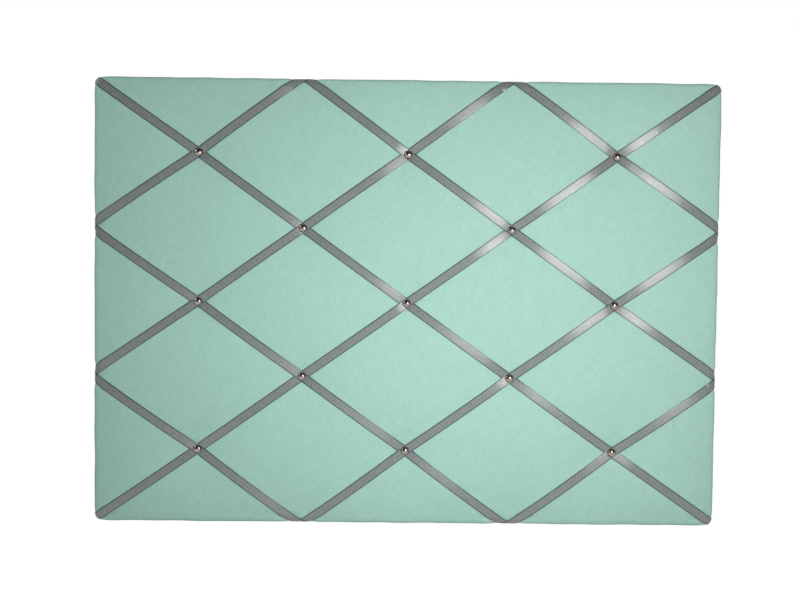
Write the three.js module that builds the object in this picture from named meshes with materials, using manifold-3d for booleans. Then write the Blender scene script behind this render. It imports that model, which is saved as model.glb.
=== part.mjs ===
// A french memo board: a padded panel under stretched cloth, crossed by ribbons that studs hold down, with a
// lined back and two ring hangers. Millimetres, +Z up, the front towards -Y and the back of the lining at y = 0.
import * as THREE from "three";
import { mergeVertices } from "three/addons/utils/BufferGeometryUtils.js";
import Module from "manifold-3d";

const wasm = await Module();
wasm.setup();

// Panel
const boardWidth = 594;
const boardHeight = 420;
const boardThickness = 9;
const boardCorner = 4;

// Wadding and cloth
const padCrown = 9; // over the board, between the studs
const padAtStud = 2.5; // pressed flat under a stud
const padSide = 4; // round the edge of the board
const edgeRound = 5; // width of the rounded front edge
const clothThickness = 0.8;
const hemWidth = 50; // cloth turned on to the back, from the board's edge
const hemCorner = 4;

// Ribbons
const ribbonWidth = 9;
const ribbonThickness = 0.5;
const ribbonTail = 30; // ribbon turned on to the back
const ribbonMeet = 11.5; // a pair crosses this far past the start of the rounded edge

// Studs
const studDiameter = 8.2;
const studHeight = 3;
const studWall = 0.5;
const shankDiameter = 1.6;
const studTipCover = 1.8; // board left behind the tip

// Lining
const liningThickness = 0.7;
const liningInset = 10; // in from the edge of the cloth
const liningCorner = 4;

// Hangers
const hangerInset = 97; // from the board's side edge to the middle of a hanger
const hangerDrop = 25; // ring bar below the top edge of the board
const ringWire = 2;
const ringWidth = 16; // between the centres of the ring's legs
const ringLeg = 4.5; // from the bar to the start of the bow
const ringCorner = 2.5;
const strapWidth = 9;
const strapMetal = 0.8;
const strapLength = 22; // from the ring bar to the round end
const strapSlit = 0.2; // between the two leaves
const strapJog = 5; // the outer leaf leaves the eye over this length
const screwDrop = 17; // from the ring bar
const screwDiameter = 3;
const screwHeadDiameter = 6.4;
const screwHeadHeight = 2;
const screwTipCover = 2.5; // board left in front of the tip

// Fits
const gap = 0.3; // between pieces that lie on each other
const ribbonRide = 0.6; // between a ribbon and the cloth under it
const holeClearance = 0.3; // round a shank
const ringClearance = 0.3; // between the ring bar and the strap's eye

// Lattice: a grid that divides the cloth's face into this many diamonds each way, with a stud wherever two
// ribbons cross. A ribbon lies over those laid before it.
const cells = 3;
const layingOrder = [
  "fall_3", "rise_3", "fall_2", "rise_2", "fall_4", "rise_4", "fall_1", "fall_5", "rise_1", "rise_5",
];

// Facets
const cornerSteps = 4;
const roundSteps = 4;
const holeSides = 8;
const studSides = 12;

// Offsets from the wadding, and heights in front of the board's front face
const clothIn = gap;
const clothOut = gap + clothThickness;
const ribbonIn = clothOut + ribbonRide;
const ribbonStep = ribbonThickness + gap;
const boardBack = -boardThickness;
const liningIn = boardBack - ribbonIn - ribbonThickness - gap;
const liningOut = liningIn - liningThickness;
const studUnder = padAtStud + ribbonIn + ribbonStep + ribbonThickness + gap;

// Plan: the board's corner centres, and what lies outside them
const midX = boardWidth / 2 - boardCorner;
const midZ = boardHeight / 2 - boardCorner;
const padReach = boardCorner + gap + padSide;
const clothReach = padReach + clothOut;
const roundStart = padReach - edgeRound;

// Lattice steps, the flat seat that a crossing needs, and the dish that leads from it up to the crown
const stepX = (midX + clothReach) / cells;
const stepZ = (midZ + clothReach) / cells;
const ribbonAngle = Math.atan2(stepZ, stepX);
const crossHalf = (ribbonWidth / 2) * (1 / Math.sin(2 * ribbonAngle) + 1 / Math.tan(2 * ribbonAngle));
const pressHalf = crossHalf + ribbonWidth / 10;
const seatRadius = pressHalf + ribbonWidth / 4;
const studToEdge = Math.min(midX - (cells - 1) * stepX, midZ - (cells - 1) * stepZ) + roundStart;
const dishRadius = 0.93 * Math.min(Math.hypot(stepX, stepZ) / 2, studToEdge);
const dish = [
  { radius: seatRadius, lift: padAtStud },
  { radius: seatRadius + 0.42 * (dishRadius - seatRadius), lift: padAtStud + 0.58 * (padCrown - padAtStud) },
  { radius: dishRadius, lift: padCrown },
];
const studCells = [];
for (let j = cells - 1; j > -cells; j--)
  for (let i = 1 - cells; i < cells; i++) if ((i + j) % 2 === 0) studCells.push([i, j]);

// Hanger places
const hangerSides = { left: hangerInset - boardWidth / 2, right: boardWidth / 2 - hangerInset };
const barZ = boardHeight / 2 - hangerDrop;
const screwZ = barZ - screwDrop;

// Materials
const finish = (color, roughness, metalness = 0) =>
  new THREE.MeshStandardMaterial({ color, roughness, metalness });
const mintCloth = finish("#a8d6c8", 0.9);
const greySatin = finish("#85858a", 0.4);
const brightMetal = finish("#c9cbce", 0.12, 1);
const fibreboard = finish("#a98a66", 0.8);
const whiteWadding = finish("#f2f1ec", 1);
const calico = finish("#e6dfcf", 0.95);
const zincSteel = finish("#b4b6b8", 0.35, 1);

const part = new THREE.Group();
function piece(name, geometry, material, into = part) {
  const mesh = new THREE.Mesh(geometry, material);
  mesh.name = name;
  into.add(mesh);
  return mesh;
}

// Depth of a height in front of the board's front face, and the point there at x, z
const depth = (lift) => liningOut - lift;
const at = (x, z, lift) => new THREE.Vector3(x, depth(lift), z);

// Rings of points and the faces between them, which close into one geometry.
class Skin {
  points = [];
  faces = [];

  ring(points) {
    const first = this.points.length;
    this.points.push(...points);
    return points.map((_, i) => first + i);
  }

  band(inner, outer) {
    inner.forEach((_, i) => {
      const k = (i + 1) % inner.length;
      this.faces.push([inner[i], outer[i], outer[k]], [inner[i], outer[k], inner[k]]);
    });
  }

  chain(rings) {
    rings.slice(1).forEach((ring, k) => this.band(rings[k], ring));
  }

  // The flat face between an outer ring and holes, facing the front or the back.
  cap(outer, holes, facesFront) {
    const plan = (ring) => ring.map((n) => new THREE.Vector2(this.points[n].x, this.points[n].z));
    const all = [outer, ...holes].flat();
    for (const corners of THREE.ShapeUtils.triangulateShape(plan(outer), holes.map(plan))) {
      const [a, b, c] = corners.map((n) => all[n]);
      const [p, q, r] = plan([a, b, c]);
      const turnsLeft = q.sub(p).cross(r.sub(p)) > 0;
      this.faces.push(turnsLeft === facesFront ? [a, b, c] : [a, c, b]);
    }
  }

  geometry() {
    const places = this.points.flatMap((p) => p.toArray());
    const made = new THREE.BufferGeometry();
    made.setAttribute("position", new THREE.Float32BufferAttribute(places, 3));
    made.setIndex(this.faces.flat());
    return made;
  }
}

// Booleans
function solid(geometry) {
  const bare = new THREE.BufferGeometry().setAttribute("position", geometry.getAttribute("position"));
  const joined = mergeVertices(bare.setIndex(geometry.index), 1e-4);
  const vertProperties = joined.attributes.position.array;
  return new wasm.Manifold(new wasm.Mesh({ numProp: 3, vertProperties, triVerts: joined.index.array }));
}

function shaped(geometry, { within, without = [] }) {
  let made = solid(geometry);
  if (within) made = made.intersect(solid(within));
  for (const tool of without) made = made.subtract(solid(tool));
  const { vertProperties, triVerts } = made.getMesh();
  return new THREE.BufferGeometry()
    .setAttribute("position", new THREE.BufferAttribute(vertProperties, 3))
    .setIndex(new THREE.BufferAttribute(triVerts, 1));
}

// A drill through the depth of the panel, between two heights
function drill(radius, from, to, x, z) {
  const tool = new THREE.CylinderGeometry(radius, radius, Math.abs(to - from), holeSides);
  return tool.translate(x, depth((from + to) / 2), z);
}

// A rounded rectangle that runs `out` from the board's corner centres
function outline(out, lift, corner = out) {
  const points = [];
  [[1, 1], [-1, 1], [-1, -1], [1, -1]].forEach(([sideX, sideZ], quarter) => {
    for (let k = 0; k <= cornerSteps; k++) {
      const turn = (quarter + k / cornerSteps) * (Math.PI / 2);
      const x = sideX * (midX + out - corner) + corner * Math.cos(turn);
      const z = sideZ * (midZ + out - corner) + corner * Math.sin(turn);
      points.push(at(x, z, lift));
    }
  });
  return points;
}

// The rounded front edge, `off` the wadding, from the crown down to the side
const roundTurns = Array.from({ length: roundSteps + 1 }, (_, k) => ((k / roundSteps) * Math.PI) / 2);
const edgeAt = (turn, off) => ({
  out: roundStart + (edgeRound + off) * Math.sin(turn),
  lift: (padCrown + off) * Math.cos(turn),
});
const roundedEdge = (off) =>
  roundTurns.map((turn) => {
    const { out, lift } = edgeAt(turn, off);
    return outline(out, lift);
  });

// Eight points round a stud: along its ribbons, and between them
const quarterTurns = [0, ribbonAngle, Math.PI / 2, Math.PI - ribbonAngle];
const studTurns = [...quarterTurns, ...quarterTurns.map((turn) => turn + Math.PI)];
const studRing = ([i, j], radius, lift) =>
  studTurns.map((turn) => at(i * stepX + radius * Math.cos(turn), j * stepZ + radius * Math.sin(turn), lift));
const studHole = shankDiameter / 2 + holeClearance;

// The quilted face inside `edge`, dished at every stud. Returns the rings of the stud holes.
function quiltedFace(skin, edge, off, facesFront) {
  const holes = studCells.map((cell) => skin.ring(studRing(cell, studHole, padAtStud + off)));
  const rims = studCells.map((cell, k) => {
    const rings = [holes[k], ...dish.map(({ radius, lift }) => skin.ring(studRing(cell, radius, lift + off)))];
    skin.chain(facesFront ? rings : [...rings].reverse());
    return rings.at(-1);
  });
  skin.cap(edge, rims, facesFront);
  return holes;
}

// Backing board, drilled for the studs and the hanger screws
const studTip = boardBack + studTipCover;
const screwHole = screwDiameter / 2 + holeClearance;
const boardShape = new THREE.Shape(outline(boardCorner, 0).map(({ x, z }) => new THREE.Vector2(x, z)));
const blank = new THREE.ExtrudeGeometry(boardShape, { depth: boardThickness, bevelEnabled: false });
blank.rotateX(Math.PI / 2).translate(0, depth(boardBack), 0);
const drilling = [
  ...studCells.map(([i, j]) => drill(studHole, gap, studTip - gap, i * stepX, j * stepZ)),
  ...Object.values(hangerSides).map((x) => drill(screwHole, boardBack - gap, gap - screwTipCover, x, screwZ)),
];
piece("backing_board", shaped(blank, { without: drilling }), fibreboard);

// Wadding: a quilted top with a skirt down the edge of the board
const pad = new Skin();
const padRings = [
  ...roundedEdge(0),
  outline(padReach, boardBack),
  outline(boardCorner + gap, boardBack),
  outline(boardCorner + gap, gap),
].map((points) => pad.ring(points));
pad.chain(padRings);
const padTopHoles = quiltedFace(pad, padRings[0], 0, true);
const padLowHoles = studCells.map((cell) => pad.ring(studRing(cell, studHole, gap)));
pad.cap(padRings.at(-1), padLowHoles, false);
padTopHoles.forEach((ring, k) => pad.band(padLowHoles[k], ring));
piece("wadding", pad.geometry(), whiteWadding);

// Cover: one cloth over the face and the edges, turned on to the back as a hem
const cloth = new Skin();
const hemEnd = boardCorner - hemWidth;
const clothRings = [
  ...roundedEdge(clothOut),
  outline(clothReach, boardBack - clothOut),
  outline(hemEnd, boardBack - clothOut, hemCorner),
  outline(hemEnd, boardBack - clothIn, hemCorner),
  outline(padReach + clothIn, boardBack - clothIn),
  ...roundedEdge(clothIn).reverse(),
].map((points) => cloth.ring(points));
cloth.chain(clothRings);
const clothTopHoles = quiltedFace(cloth, clothRings[0], clothOut, true);
const clothLowHoles = quiltedFace(cloth, clothRings.at(-1), clothIn, false);
clothTopHoles.forEach((ring, k) => cloth.band(clothLowHoles[k], ring));
const hemHoles = Object.values(hangerSides).map((x) =>
  drill(screwHole, boardBack, boardBack - clothOut - gap, x, screwZ),
);
piece("cover_cloth", shaped(cloth.geometry(), { without: hemHoles }), mintCloth);

// A ribbon's cross-section: left and right edge of its inner face, then of its outer face. The two places are
// plan points; `side` runs from the middle of the ribbon to its left edge.
function section(inner, outer, side) {
  const edge = ({ place, lift }, sign) => at(place.x + sign * side.x, place.y + sign * side.y, lift);
  return [edge(inner, 1), edge(inner, -1), edge(outer, -1), edge(outer, 1)];
}
const leftOf = (way) => new THREE.Vector2(-way.y, way.x);

// On the face, at a distance from a stud and raised where the ribbon lies over another
function faceSection(stud, way, distance, raise, travel = way) {
  const place = stud.clone().addScaledVector(way, distance);
  const { lift } = dish.find(({ radius }) => distance <= radius + 1e-6) ?? dish.at(-1);
  const low = lift + ribbonIn + raise;
  const side = leftOf(travel).multiplyScalar(ribbonWidth / 2);
  return section({ place, lift: low }, { place, lift: low + ribbonThickness }, side);
}

// Distances from a stud at which the slope of a ribbon changes, and how far it is raised there
const faceStops = [pressHalf, ...dish.map(({ radius }) => radius)];
const faceRaise = (over, distance) =>
  over ? ribbonStep * THREE.MathUtils.clamp((dish[1].radius - distance) / (dish[1].radius - pressHalf), 0, 1) : 0;

// Lengths along the cloth, from the start of the rounded edge, at which a ribbon bends
const edgeLengths = [0];
roundTurns.slice(1).forEach((turn, k) => {
  const from = edgeAt(roundTurns[k], clothOut);
  const to = edgeAt(turn, clothOut);
  edgeLengths.push(edgeLengths[k] + Math.hypot(to.out - from.out, to.lift - from.lift));
});
const backLength = edgeLengths.at(-1) + boardThickness + clothOut;
const wrapStops = [
  ...roundTurns.map((turn, k) => ({ length: edgeLengths[k], full: 1, where: (off) => edgeAt(turn, off) })),
  { length: backLength, full: 1, where: (off) => ({ out: padReach + off, lift: boardBack - off }) },
  ...[[0.9 * liningInset, 0], [ribbonTail, 0]].map(([run, full]) => ({
    length: backLength + run,
    full,
    where: (off) => ({ out: clothReach - run, lift: boardBack - off }),
  })),
];

// From a ribbon's last stud over the edge to the end of its tail. `sense` is -1 where the ribbon starts there.
function ribbonEnd(studCell, edgeCell, overStud, overEdge, sense) {
  const stud = new THREE.Vector2(studCell[0] * stepX, studCell[1] * stepZ);
  const [i, j] = edgeCell;
  const atSide = Math.abs(i) === cells;
  const atTop = Math.abs(j) === cells;
  const origin = new THREE.Vector2(atSide ? Math.sign(i) * midX : i * stepX, atTop ? Math.sign(j) * midZ : j * stepZ);
  const normal = new THREE.Vector2(atSide ? Math.sign(i) : 0, atTop ? Math.sign(j) : 0);
  if (atSide && atTop) normal.copy(origin).sub(stud).normalize();
  const tangent = leftOf(normal);
  const back = stud.clone().sub(origin);
  const slope = -back.dot(tangent) / (roundStart + ribbonMeet - back.dot(normal));
  const way = normal.clone().addScaledVector(tangent, slope).normalize();
  const travel = way.clone().multiplyScalar(sense);
  const sections = faceStops.map((d) => faceSection(stud, way, d, faceRaise(overStud, d), travel));
  const side = tangent.clone().multiplyScalar((sense * ribbonWidth * Math.hypot(1, slope)) / 2);
  for (const { length, full, where } of wrapStops) {
    const off = ribbonIn + (overEdge ? full * ribbonStep : 0);
    const [inner, outer] = [off, off + ribbonThickness].map((height) => {
      const { out, lift } = where(height);
      const along = slope * (length - ribbonMeet);
      return { place: origin.clone().addScaledVector(normal, out).addScaledVector(tangent, along), lift };
    });
    sections.push(section(inner, outer, side));
  }
  return { way, sections: sense < 0 ? sections.reverse() : sections };
}

function closedStrip(sections) {
  const skin = new Skin();
  const rings = sections.map((points) => skin.ring(points));
  skin.chain(rings);
  const [[a, b, c, d], [e, f, g, h]] = [rings[0], rings.at(-1)];
  skin.faces.push([a, b, c], [a, c, d], [e, g, f], [e, h, g]);
  return skin.geometry();
}

// Ribbons: fall_n runs down to the right, numbered from the lower left corner; rise_n runs up to the right,
// numbered from the upper left corner.
const ribbonAt = (family, [i, j]) => `${family}_${family === "fall" ? cells + (i + j) / 2 : cells - (j - i) / 2}`;
const isOver = (family, cell) =>
  layingOrder.indexOf(ribbonAt(family, cell)) >
  layingOrder.indexOf(ribbonAt(family === "fall" ? "rise" : "fall", cell));
for (const [family, drop] of [["fall", -1], ["rise", 1]])
  for (let n = 1; n < 2 * cells; n++) {
    const name = `${family}_${n}`;
    const held = studCells.filter((cell) => ribbonAt(family, cell) === name).sort((a, b) => a[0] - b[0]);
    const places = held.map(([i, j]) => new THREE.Vector2(i * stepX, j * stepZ));
    const over = held.map((cell) => isOver(family, cell));
    const before = [held[0][0] - 1, held[0][1] - drop];
    const after = [held.at(-1)[0] + 1, held.at(-1)[1] + drop];
    const start = ribbonEnd(held[0], before, over[0], isOver(family, before), -1);
    const end = ribbonEnd(held.at(-1), after, over.at(-1), isOver(family, after), 1);
    const along = new THREE.Vector2(stepX, drop * stepZ).normalize();
    const sections = [...start.sections];
    held.forEach((_, k) => {
      const arriving = k ? along : start.way.clone().negate();
      const leaving = k < held.length - 1 ? along : end.way;
      const travel = arriving.clone().add(leaving).normalize();
      sections.push(faceSection(places[k], travel, 0, faceRaise(over[k], 0)));
      if (k === held.length - 1) return;
      sections.push(...faceStops.map((d) => faceSection(places[k], along, d, faceRaise(over[k], d))));
      const behind = along.clone().negate();
      const nearing = faceStops.map((d) => faceSection(places[k + 1], behind, d, faceRaise(over[k + 1], d), along));
      sections.push(...nearing.reverse());
    });
    sections.push(...end.sections);
    const holes = places.map(({ x, y }) => drill(studHole, padAtStud, studUnder, x, y));
    piece(`ribbon_${name}`, shaped(closedStrip(sections), { without: holes }), greySatin);
  }

// Studs: a hollow domed cap on a nail shank
const capRadius = studDiameter / 2;
const hollowRadius = capRadius - studWall;
const hollowHeight = (r) => (studHeight - studWall) * Math.sqrt(1 - (r / hollowRadius) ** 2);
const shankRadius = shankDiameter / 2;
const studProfile = [
  [0, studTip - studUnder],
  [shankRadius, studTip - studUnder + 2 * shankDiameter],
  [shankRadius, hollowHeight(shankRadius)],
  [0.7 * hollowRadius, hollowHeight(0.7 * hollowRadius)],
  [hollowRadius, 0],
];
for (const turn of [0, 25, 50, 70, 90].map(THREE.MathUtils.degToRad))
  studProfile.push([turn < 1.5 ? capRadius * Math.cos(turn) : 0, studHeight * Math.sin(turn)]);
const studForm = new THREE.LatheGeometry(studProfile.map(([r, y]) => new THREE.Vector2(r, y)), studSides);
studForm.rotateX(Math.PI);
studCells.forEach((cell, k) => {
  const name = `stud_${String(k + 1).padStart(2, "0")}`;
  const stud = piece(name, studForm, brightMetal);
  stud.position.copy(at(cell[0] * stepX, cell[1] * stepZ, studUnder));
});

// Lining: a flat cloth over the hem and the ribbon tails, with holes for the hanger screws. The seam below the
// hangers keeps the plain part of its back one flat field.
const lining = new Skin();
const liningReach = clothReach - liningInset;
const fieldTop = barZ - 1.5 * strapLength;
function liningFace(lift, facesFront) {
  const edge = lining.ring(outline(liningReach, lift, liningCorner));
  const [right, left] = lining.ring([1, -1].map((side) => at(side * (midX + liningReach), fieldTop, lift)));
  const holes = Object.values(hangerSides).map((x) =>
    lining.ring(
      Array.from({ length: holeSides }, (_, k) => (k * 2 * Math.PI) / holeSides).map((turn) =>
        at(x + screwHole * Math.cos(turn), screwZ + screwHole * Math.sin(turn), lift),
      ),
    ),
  );
  const half = edge.length / 2;
  const [upper, lower] = [edge.slice(0, half), edge.slice(half)];
  lining.cap([...upper, left, right], holes, facesFront);
  lining.cap([left, ...lower, right], [], facesFront);
  return { rim: [...upper, left, ...lower, right], holes };
}
const liningFront = liningFace(liningIn, true);
const liningBack = liningFace(liningOut, false);
lining.band(liningFront.rim, liningBack.rim);
liningFront.holes.forEach((ring, k) => lining.band(liningBack.holes[k], ring));
piece("back_lining", lining.geometry(), calico);

// Hangers. The strap is a strip folded round the ring's bar, drawn from the side as depth and height
const eyeInner = ringWire / 2 + ringClearance;
const eyeOuter = eyeInner + strapMetal;
const barY = gap + eyeOuter;
const leafTop = gap + 2 * strapMetal + strapSlit;
const lip = -THREE.MathUtils.degToRad(50);
const strapSide = new THREE.Shape();
strapSide.moveTo(gap, -strapLength);
strapSide.absarc(barY, 0, eyeOuter, Math.PI, lip, true);
strapSide.lineTo(leafTop, -strapJog);
strapSide.lineTo(leafTop, -strapLength);
strapSide.lineTo(leafTop - strapMetal, -strapLength);
strapSide.lineTo(leafTop - strapMetal, strapMetal / 2 - strapJog);
strapSide.absarc(barY, 0, eyeInner, lip, Math.PI, false);
strapSide.lineTo(gap + strapMetal, -strapLength);
const strip = new THREE.ExtrudeGeometry(strapSide, { depth: strapWidth, bevelEnabled: false, curveSegments: 8 });
strip.translate(0, 0, -strapWidth / 2);
strip.applyMatrix4(
  new THREE.Matrix4().makeBasis(
    new THREE.Vector3(0, 1, 0),
    new THREE.Vector3(0, 0, 1),
    new THREE.Vector3(1, 0, 0),
  ),
);
const strapPlan = new THREE.Shape();
strapPlan.moveTo(-strapWidth, eyeOuter + gap);
strapPlan.lineTo(-strapWidth, -strapLength / 2);
strapPlan.lineTo(-strapWidth / 2, -strapLength / 2);
strapPlan.absarc(0, strapWidth / 2 - strapLength, strapWidth / 2, Math.PI, 2 * Math.PI, false);
strapPlan.lineTo(strapWidth / 2, -strapLength / 2);
strapPlan.lineTo(strapWidth, -strapLength / 2);
strapPlan.lineTo(strapWidth, eyeOuter + gap);
const roundEnd = new THREE.ExtrudeGeometry(strapPlan, { depth: 4 * barY, bevelEnabled: false, curveSegments: 8 });
roundEnd.rotateX(Math.PI / 2).translate(0, 3 * barY, 0);
const strapHole = new THREE.CylinderGeometry(screwHole, screwHole, 4 * barY, holeSides).translate(0, 0, -screwDrop);
const strapForm = shaped(strip, { within: roundEnd, without: [strapHole] });

// The ring, drawn upright from its bar
const arc = (x, z, radius, from, to, steps) =>
  Array.from({ length: steps + 1 }, (_, k) => {
    const turn = THREE.MathUtils.degToRad(from + ((to - from) * k) / steps);
    return new THREE.Vector2(x + radius * Math.cos(turn), z + radius * Math.sin(turn));
  });
const ringHalf = ringWidth / 2;
const ringPath = [
  ...arc(ringHalf - ringCorner, ringCorner, ringCorner, -90, 0, 3),
  ...arc(0, ringLeg, ringHalf, 0, 180, 8),
  ...arc(ringCorner - ringHalf, ringCorner, ringCorner, 180, 270, 3),
];
const ring = new Skin();
const wireTurns = Array.from({ length: 8 }, (_, k) => ((-k - 0.5) * Math.PI) / 4);
const ringRings = ringPath.map((point, k) => {
  const ahead = ringPath[(k + 1) % ringPath.length].clone().sub(point).normalize();
  const behind = point.clone().sub(ringPath.at(k - 1)).normalize();
  const outward = leftOf(ahead.add(behind).normalize()).negate();
  return ring.ring(
    wireTurns.map((turn) => {
      const place = point.clone().addScaledVector(outward, (ringWire / 2) * Math.cos(turn));
      return new THREE.Vector3(place.x, (ringWire / 2) * Math.sin(turn), place.y);
    }),
  );
});
ring.chain([...ringRings, ringRings[0]]);
const ringForm = ring.geometry();
const ringLean = Math.asin((barY - gap - ringWire / 2) / (ringLeg + ringHalf));

// The screw, drawn along its axis with the underside of its head at zero
const screwRadius = screwDiameter / 2;
const headRadius = screwHeadDiameter / 2;
const screwTip = depth(-screwTipCover) - leafTop - gap;
const screwForm = new THREE.LatheGeometry(
  [
    [0, screwTip],
    [screwRadius, screwTip + screwDiameter],
    [screwRadius, 0],
    [headRadius, 0],
    [headRadius, 0.4 * screwHeadHeight],
    [0.8 * headRadius, 0.8 * screwHeadHeight],
    [0.4 * headRadius, screwHeadHeight],
    [0, screwHeadHeight],
  ].map(([r, y]) => new THREE.Vector2(r, y)),
  studSides,
);

for (const [side, x] of Object.entries(hangerSides)) {
  const hanger = new THREE.Group();
  hanger.position.set(x, 0, barZ);
  part.add(hanger);
  piece(`hanger_strap_${side}`, strapForm, zincSteel, hanger);
  const swing = piece(`d_ring_${side}`, ringForm, zincSteel, hanger);
  swing.position.y = barY;
  swing.rotation.x = ringLean;
  const screw = piece(`hanger_screw_${side}`, screwForm, zincSteel, hanger);
  screw.position.set(0, leafTop + gap, -screwDrop);
}

export default part;
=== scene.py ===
import math

import bmesh
import bpy
import numpy as np
from mathutils import Matrix, Vector


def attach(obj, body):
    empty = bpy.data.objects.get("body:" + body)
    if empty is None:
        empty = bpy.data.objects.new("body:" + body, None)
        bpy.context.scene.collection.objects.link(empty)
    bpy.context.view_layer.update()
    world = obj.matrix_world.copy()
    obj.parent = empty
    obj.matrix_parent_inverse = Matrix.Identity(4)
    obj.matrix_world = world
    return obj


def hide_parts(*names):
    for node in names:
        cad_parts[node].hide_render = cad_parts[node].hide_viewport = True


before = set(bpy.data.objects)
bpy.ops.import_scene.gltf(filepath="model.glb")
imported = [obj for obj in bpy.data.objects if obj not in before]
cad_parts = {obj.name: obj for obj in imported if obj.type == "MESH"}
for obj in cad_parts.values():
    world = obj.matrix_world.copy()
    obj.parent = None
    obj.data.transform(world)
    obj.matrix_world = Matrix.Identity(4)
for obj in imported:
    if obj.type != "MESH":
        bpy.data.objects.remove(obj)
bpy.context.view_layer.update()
scene = bpy.context.scene
mm = 0.001
weldGap = 1e-6  # metres
tiny = 1e-9  # keeps a division clear of zero
farOff = 1e3  # mm, further than anything on the board
print("frame loaded:", len(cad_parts), "nodes")


# small helpers

def linear(hexColour):
    # an sRGB hex value as linear red, green and blue, with a full alpha
    values = [int(hexColour[k:k + 2], 16) / 255 for k in (1, 3, 5)]
    return [v / 12.92 if v <= 0.04045 else ((v + 0.055) / 1.055) ** 2.4 for v in values] + [1.0]


def feed(tree, node, inputs):
    # a node gives its first output, a socket is linked, and anything else is set
    for key, value in inputs.items():
        if isinstance(value, bpy.types.Node):
            value = value.outputs[0]
        if isinstance(value, bpy.types.NodeSocket):
            tree.links.new(value, node.inputs[key])
        else:
            node.inputs[key].default_value = value


def addNode(tree, kind, inputs=None, **settings):
    # inputs go by name, or by number where names repeat: a map range has its value at 0, from at 1 and 2 and
    # to at 3 and 4; a mix has its factor at 0, numbers at 2 and 3, and colours at 6 and 7, mixed at output 2
    node = tree.nodes.new(kind)
    for key, value in settings.items():
        setattr(node, key, value)
    feed(tree, node, inputs or {})
    return node


def clothPlane(tree):
    # a sheet's own flat coordinates, in mm
    coords = addNode(tree, "ShaderNodeTexCoord")
    return addNode(tree, "ShaderNodeMapping", {"Vector": coords.outputs["UV"], "Scale": (1000, 1000, 1)})


def newMaterial(name):
    material = bpy.data.materials.new(name)
    material.use_nodes = True
    tree = material.node_tree
    shader = tree.nodes["Principled BSDF"]
    return material, tree, shader


def newPiece(name, points, faces, material, uvs=None):
    # points in mm, in the frame's axes; uvs one per point, in metres
    mesh = bpy.data.meshes.new(name)
    places = (np.asarray(points, float) * mm).tolist()
    mesh.from_pydata(places, [], [list(map(int, face)) for face in faces])
    if uvs is not None:
        layer = mesh.uv_layers.new(name="cut")
        corner = np.zeros(len(mesh.loops), int)
        mesh.loops.foreach_get("vertex_index", corner)
        layer.data.foreach_set("uv", np.asarray(uvs, float)[corner].astype(np.float32).ravel())
    mesh.materials.append(material)
    mesh.shade_smooth()
    mesh.update()
    piece = bpy.data.objects.new(name, mesh)
    scene.collection.objects.link(piece)
    return piece


def baked(piece):
    # what the modifiers give, as the piece's own plain mesh
    bpy.context.view_layer.update()
    graph = bpy.context.evaluated_depsgraph_get()
    mesh = bpy.data.meshes.new_from_object(piece.evaluated_get(graph), depsgraph=graph)
    piece.modifiers.clear()
    old = piece.data
    piece.data = mesh
    mesh.name = piece.name
    bpy.data.meshes.remove(old)
    return piece


def facedOut(piece):
    shell = bmesh.new()
    shell.from_mesh(piece.data)
    bmesh.ops.remove_doubles(shell, verts=shell.verts, dist=weldGap)
    bmesh.ops.recalc_face_normals(shell, faces=shell.faces)
    shell.to_mesh(piece.data)
    shell.free()
    return piece


def gridFaces(number):
    # quads of a grid of point numbers, facing the front
    rows, columns = number.shape
    return [
        (number[r, c], number[r, c + 1], number[r + 1, c + 1], number[r + 1, c])
        for r in range(rows - 1) for c in range(columns - 1)
    ]


def bands(rings):
    # faces between closed rings of point numbers; a point named twice in a row gives a triangle
    faces = []
    for a, b in zip(rings, rings[1:]):
        for k in range(len(a)):
            n = (k + 1) % len(a)
            faces.append((a[k], b[k], b[n], a[n]) if a[k] != a[n] else (a[k], b[k], b[n]))
    return faces


# out of the lower, right, upper and left side
sideWays = np.array([(0.0, -1.0), (1.0, 0.0), (0.0, 1.0), (-1.0, 0.0)])
sameWay = 0.9  # ways whose product is above this are the same


def borderStations(number, fan):
    # round a grid's border, counter-clockwise from the front: the point, its way out, and whether it is on a
    # straight side; each side has both its corners, and a fan of ways stands at each corner
    lines = (number[0, :], number[:, -1], number[-1, ::-1], number[::-1, 0])
    stations = []
    for k, (line, way) in enumerate(zip(lines, sideWays)):
        stations += [(p, way, True) for p in line]
        turnTo = sideWays[(k + 1) % 4]
        for q in range(1, fan):
            a = q / fan * math.pi / 2
            stations.append((line[-1], way * math.cos(a) + turnTo * math.sin(a), False))
    return stations


def smoothStep(x, low, high):
    t = np.clip((np.asarray(x, float) - low) / (high - low), 0, 1)
    return t * t * (3 - 2 * t)


# The panel, in mm. Heights are lifts in front of the board's front face.

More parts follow.
